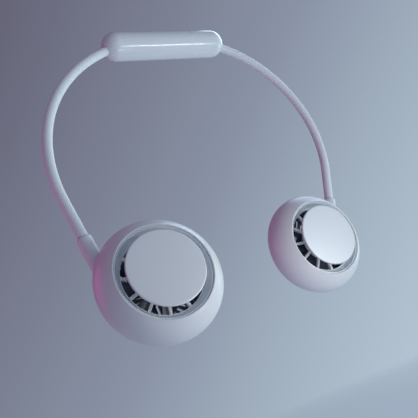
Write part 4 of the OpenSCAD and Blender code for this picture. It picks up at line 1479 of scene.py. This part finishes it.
NODE_FINISHES = {
    "steel": (
        "case_screws",
        "usb_socket",
        "arm_ferrule",
        "swivel_pin",
        "pin_clip",
        "head_screws",
        "motor_shaft",
        "rotor_can",
    ),
    "nickel": ("battery_contacts", "bearings"),
    "cell_wrap": ("battery_cell",),
    "board_green": ("main_board", "motor_board"),
    "black_plastic": ("tact_switch", "fan_frame"),
    "clear_plastic": ("charge_light",),
    "magnet": ("magnet_ring", "stator_core"),
    "copper": ("stator_coils",),
}


def dress_nodes():
    """Gives every CAD piece that stays its finish."""
    for finish_name, endings in NODE_FINISHES.items():
        for name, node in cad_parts.items():
            if name.removeprefix("left_").removeprefix("right_") in endings:
                node.data.materials.clear()
                node.data.materials.append(finish(finish_name))


# Stage


FLOOR_SHADE = (0.46, 0.53, 0.61)
FLOOR_GLOW = (0.16, 0.20, 0.21)
FLOOR_BOUNCE = (0.15, 0.20, 0.23)
BACKDROP = [
    (0.05, (0.135, 0.133, 0.190)),
    (0.50, (0.250, 0.290, 0.375)),
    (0.75, (0.366, 0.445, 0.533)),
    (0.92, (0.445, 0.539, 0.638)),
]
SOFT_LIGHT = [
    (0.00, (0.150, 0.020, 0.090)),
    (0.25, (0.140, 0.110, 0.180)),
    (0.50, (0.260, 0.310, 0.390)),
    (0.75, (0.540, 0.690, 0.750)),
    (1.00, (1.150, 1.400, 1.450)),
]
# Places and directions are to the right, upwards and towards the camera from the object's middle, in metres
PALE_SIDE = (0.92, -0.39, 0)
LAMPS = {
    "near": {
        "place": (0.149, -0.101, 0.158),
        "size": 0.10,
        "watts": 0.095,
        "rgb": (1.0, 0.97, 0.90),
    },
    "behind": {
        "place": (0.21, 0.44, -0.50),
        "size": 0.45,
        "watts": 1.3,
        "rgb": (0.55, 0.78, 1.0),
    },
    "edge": {
        "place": (0.517, 0, -0.304),
        "size": 0.3,
        "watts": 0.3,
        "rgb": (0.55, 1.0, 0.7),
    },
    "mauve": {
        "place": (-0.34, -0.10, 0.04),
        "aim": (-0.01, -0.17, 0),
        "size": 0.22,
        "watts": 0.13,
        "rgb": (1.0, 0.05, 0.58),
    },
    "strip": {
        "place": (0.338, 0.06, 0.202),
        "aim": (-0.036, 0.097, -0.039),
        "along": (0.749, 0.238, -0.619),
        "size": 0.15,
        "width": 0.03,
        "watts": 0.26,
        "rgb": (0.94, 0.97, 1.0),
    },
}


def showing(tree):
    """One for a ray that shows the background: from the camera, in gloss or through what is clear."""
    names = ("Is Camera Ray", "Is Glossy Ray", "Is Transmission Ray")
    camera, gloss, clear = [tree.add("ShaderNodeLightPath", {}, {}, output=name) for name in names]
    return (camera + gloss + clear).clamped()


def floor_paint():
    """The floor's finish: pale and even, fading into the surround towards its edge."""
    tree = Finish("floor_paint")
    place = tree.place()
    reach = tree.add("ShaderNodeVectorMath", {"operation": "LENGTH"}, {0: place}, output="Value")
    fade_from = 0.25
    fade_over = 0.75
    fade = (1 - (reach - fade_from) / fade_over).clamped()
    speckle = tree.noise(place, scale=220, detail=3)
    base = tree.clouded(speckle, FLOOR_SHADE, darkest=0.985, lightest=1.015)
    glow = tree.mix(showing(tree), FLOOR_BOUNCE, FLOOR_GLOW)
    roughness = 0.6
    return tree.surface(
        base,
        roughness,
        Alpha=eased(fade),
        Emission_Color=glow,
        Emission_Strength=1,
        Specular_IOR_Level=0.2,
    )


def make_floor():
    """A plain pale floor."""
    stage = sizes().stage
    bm = bmesh.new()
    bmesh.ops.create_circle(bm, cap_ends=True, segments=128, radius=stage.floor_radius)
    bmesh.ops.translate(bm, verts=bm.verts, vec=(0, 0, stage.floor_height))
    mesh = bpy.data.meshes.new("floor")
    bm.to_mesh(mesh)
    bm.free()
    mesh.materials.append(floor_paint())
    floor = bpy.data.objects.new("floor", mesh)
    bpy.context.scene.collection.objects.link(floor)


def make_lamp(axes, name, place, size, watts, rgb, aim=(0, 0, 0), along=None, width=None):
    """A soft lamp aimed at a point. It is round, or a strip along a direction where it has a width."""
    middle = (Vector(CAD_BOX[0]) + Vector(CAD_BOX[1])) / 2
    lamp = bpy.data.lights.new(name, "AREA")
    lamp.shape = "RECTANGLE" if width else "DISK"
    lamp.size = size
    if width:
        lamp.size_y = width
    lamp.energy = watts
    lamp.color = rgb
    at = middle + axes @ Vector(place)
    lies = axes @ Vector(along) if along else Vector((0, 0, 1))
    z = (at - middle - axes @ Vector(aim)).normalized()
    x = (lies - z * lies.dot(z)).normalized()
    turn = Matrix((x, z.cross(x), z)).transposed()
    holder = bpy.data.objects.new(name, lamp)
    holder.matrix_world = Matrix.Translation(at) @ turn.to_4x4()
    bpy.context.scene.collection.objects.link(holder)


def make_world(axes):
    """The backdrop that shows, and the soft light that falls on the object: mauve left, pale right."""
    world = bpy.data.worlds.new("studio")
    bpy.context.scene.world = world
    tree = Shading(world)
    way = tree.add("ShaderNodeTexCoord", {}, {}, output="Generated")
    slope = (axes @ Vector(PALE_SIDE)).normalized()
    settings = {"operation": "DOT_PRODUCT"}
    across = tree.add("ShaderNodeVectorMath", settings, {0: way, 1: slope}, output="Value")
    middle = 0.5
    narrow = 0.5
    backdrop = tree.add("ShaderNodeValToRGB", {"stops": BACKDROP}, {"Fac": across + middle})
    soft = tree.add("ShaderNodeValToRGB", {"stops": SOFT_LIGHT}, {"Fac": across * narrow + middle})
    colour_seen = tree.mix(showing(tree), soft, backdrop)
    surround = tree.add("ShaderNodeBackground", {}, {"Color": colour_seen, "Strength": 1})
    tree.add("ShaderNodeOutputWorld", {}, {"Surface": surround})


SENSOR_WIDTH = 36


def make_camera():
    """The camera at the photograph's viewing angle."""
    stage = sizes().stage
    camera = bpy.data.objects.new("camera", bpy.data.cameras.new("camera"))
    camera.location = stage.camera_place
    camera.rotation_euler = stage.camera_turn
    camera.data.lens = stage.camera_lens
    camera.data.sensor_width = SENSOR_WIDTH
    camera.data.sensor_fit = "HORIZONTAL"
    camera.data.clip_start = 5 * MM
    camera.data.clip_end = 20
    bpy.context.scene.collection.objects.link(camera)
    bpy.context.scene.camera = camera
    return camera


def make_stage():
    """Camera, floor, surround and lamps. The axes are the picture's right, its up and towards the camera."""
    camera = make_camera()
    bpy.context.view_layer.update()
    axes = camera.matrix_world.to_3x3()
    make_floor()
    make_world(axes)
    for name, settings in LAMPS.items():
        make_lamp(axes, name, **settings)
    bpy.context.scene.view_settings.view_transform = "Standard"


# Operators


class NECK_FAN_OT_stage(bpy.types.Operator):
    """Adds the camera, the floor, the surround and the lamps"""

    bl_idname = "neck_fan.stage"
    bl_label = "Stage"

    def execute(self, context):
        make_stage()
        return {"FINISHED"}


class NECK_FAN_OT_case(bpy.types.Operator):
    """Builds the capsule's two halves"""

    bl_idname = "neck_fan.case"
    bl_label = "Capsule"

    def execute(self, context):
        make_case()
        return {"FINISHED"}


class NECK_FAN_OT_button(bpy.types.Operator):
    """Builds the power button"""

    bl_idname = "neck_fan.button"
    bl_label = "Power button"

    def execute(self, context):
        make_button()
        return {"FINISHED"}


class NECK_FAN_OT_sleeves(bpy.types.Operator):
    """Builds the arms' soft sleeves"""

    bl_idname = "neck_fan.sleeves"
    bl_label = "Sleeves"

    def execute(self, context):
        make_sleeves()
        return {"FINISHED"}


class NECK_FAN_OT_wires(bpy.types.Operator):
    """Builds the wires that hold the arms' shape"""

    bl_idname = "neck_fan.wires"
    bl_label = "Goosenecks"

    def execute(self, context):
        make_wires()
        return {"FINISHED"}


class NECK_FAN_OT_leads(bpy.types.Operator):
    """Builds the motor leads"""

    bl_idname = "neck_fan.leads"
    bl_label = "Motor leads"

    def execute(self, context):
        make_leads()
        return {"FINISHED"}


class NECK_FAN_OT_cuffs(bpy.types.Operator):
    """Builds the swivel cuffs"""

    bl_idname = "neck_fan.cuffs"
    bl_label = "Cuffs"

    def execute(self, context):
        make_cuffs()
        return {"FINISHED"}


class NECK_FAN_OT_shells(bpy.types.Operator):
    """Builds the shells of both heads"""

    bl_idname = "neck_fan.shells"
    bl_label = "Head shells"

    def execute(self, context):
        make_shells()
        return {"FINISHED"}


class NECK_FAN_OT_bezels(bpy.types.Operator):
    """Builds the bezels"""

    bl_idname = "neck_fan.bezels"
    bl_label = "Bezels"

    def execute(self, context):
        make_bezels()
        return {"FINISHED"}


class NECK_FAN_OT_grilles(bpy.types.Operator):
    """Builds the outlet grilles"""

    bl_idname = "neck_fan.grilles"
    bl_label = "Outlet grilles"

    def execute(self, context):
        make_grilles()
        return {"FINISHED"}


class NECK_FAN_OT_discs(bpy.types.Operator):
    """Builds the front discs"""

    bl_idname = "neck_fan.discs"
    bl_label = "Front discs"

    def execute(self, context):
        make_discs()
        return {"FINISHED"}


class NECK_FAN_OT_impellers(bpy.types.Operator):
    """Builds the impellers"""

    bl_idname = "neck_fan.impellers"
    bl_label = "Impellers"

    def execute(self, context):
        make_impellers()
        return {"FINISHED"}


class NECK_FAN_OT_finishes(bpy.types.Operator):
    """Gives the CAD pieces that stay their finish"""

    bl_idname = "neck_fan.finishes"
    bl_label = "Finishes"

    def execute(self, context):
        dress_nodes()
        return {"FINISHED"}


GROUPS = [CapsuleSizes, ArmSizes, HeadSizes, FinishColours, StageSettings, NeckFan]
OPERATORS = [
    NECK_FAN_OT_stage,
    NECK_FAN_OT_case,
    NECK_FAN_OT_button,
    NECK_FAN_OT_sleeves,
    NECK_FAN_OT_wires,
    NECK_FAN_OT_leads,
    NECK_FAN_OT_cuffs,
    NECK_FAN_OT_shells,
    NECK_FAN_OT_bezels,
    NECK_FAN_OT_grilles,
    NECK_FAN_OT_discs,
    NECK_FAN_OT_impellers,
    NECK_FAN_OT_finishes,
]


class NECK_FAN_PT_panel(bpy.types.Panel):
    """Lists the operators and the sizes in the sidebar"""

    bl_label = "Neck Fan"
    bl_idname = "NECK_FAN_PT_panel"
    bl_space_type = "VIEW_3D"
    bl_region_type = "UI"
    bl_category = "Neck Fan"

    def draw(self, context):
        for item in OPERATORS:
            self.layout.operator(item.bl_idname)
        for name in ("capsule", "arm", "head", "finish", "stage"):
            group = getattr(context.scene.neck_fan, name)
            box = self.layout.box()
            box.label(text=name.capitalize())
            for key in group.__annotations__:
                box.prop(group, key)


CLASSES = [*GROUPS, *OPERATORS, NECK_FAN_PT_panel]


def register():
    """Adds the classes and the scene's sizes."""
    for item in CLASSES:
        bpy.utils.register_class(item)
    bpy.types.Scene.neck_fan = PointerProperty(type=NeckFan)


def unregister():
    """Takes them out again."""
    del bpy.types.Scene.neck_fan
    for item in reversed(CLASSES):
        bpy.utils.unregister_class(item)


def main():
    """Builds everything in order."""
    register()
    bpy.ops.neck_fan.stage()
    bpy.ops.neck_fan.case()
    bpy.ops.neck_fan.button()
    bpy.ops.neck_fan.sleeves()
    bpy.ops.neck_fan.wires()
    bpy.ops.neck_fan.leads()
    bpy.ops.neck_fan.cuffs()
    bpy.ops.neck_fan.shells()
    bpy.ops.neck_fan.bezels()
    bpy.ops.neck_fan.grilles()
    bpy.ops.neck_fan.discs()
    bpy.ops.neck_fan.impellers()
    bpy.ops.neck_fan.finishes()


if __name__ == "__main__":
    main()
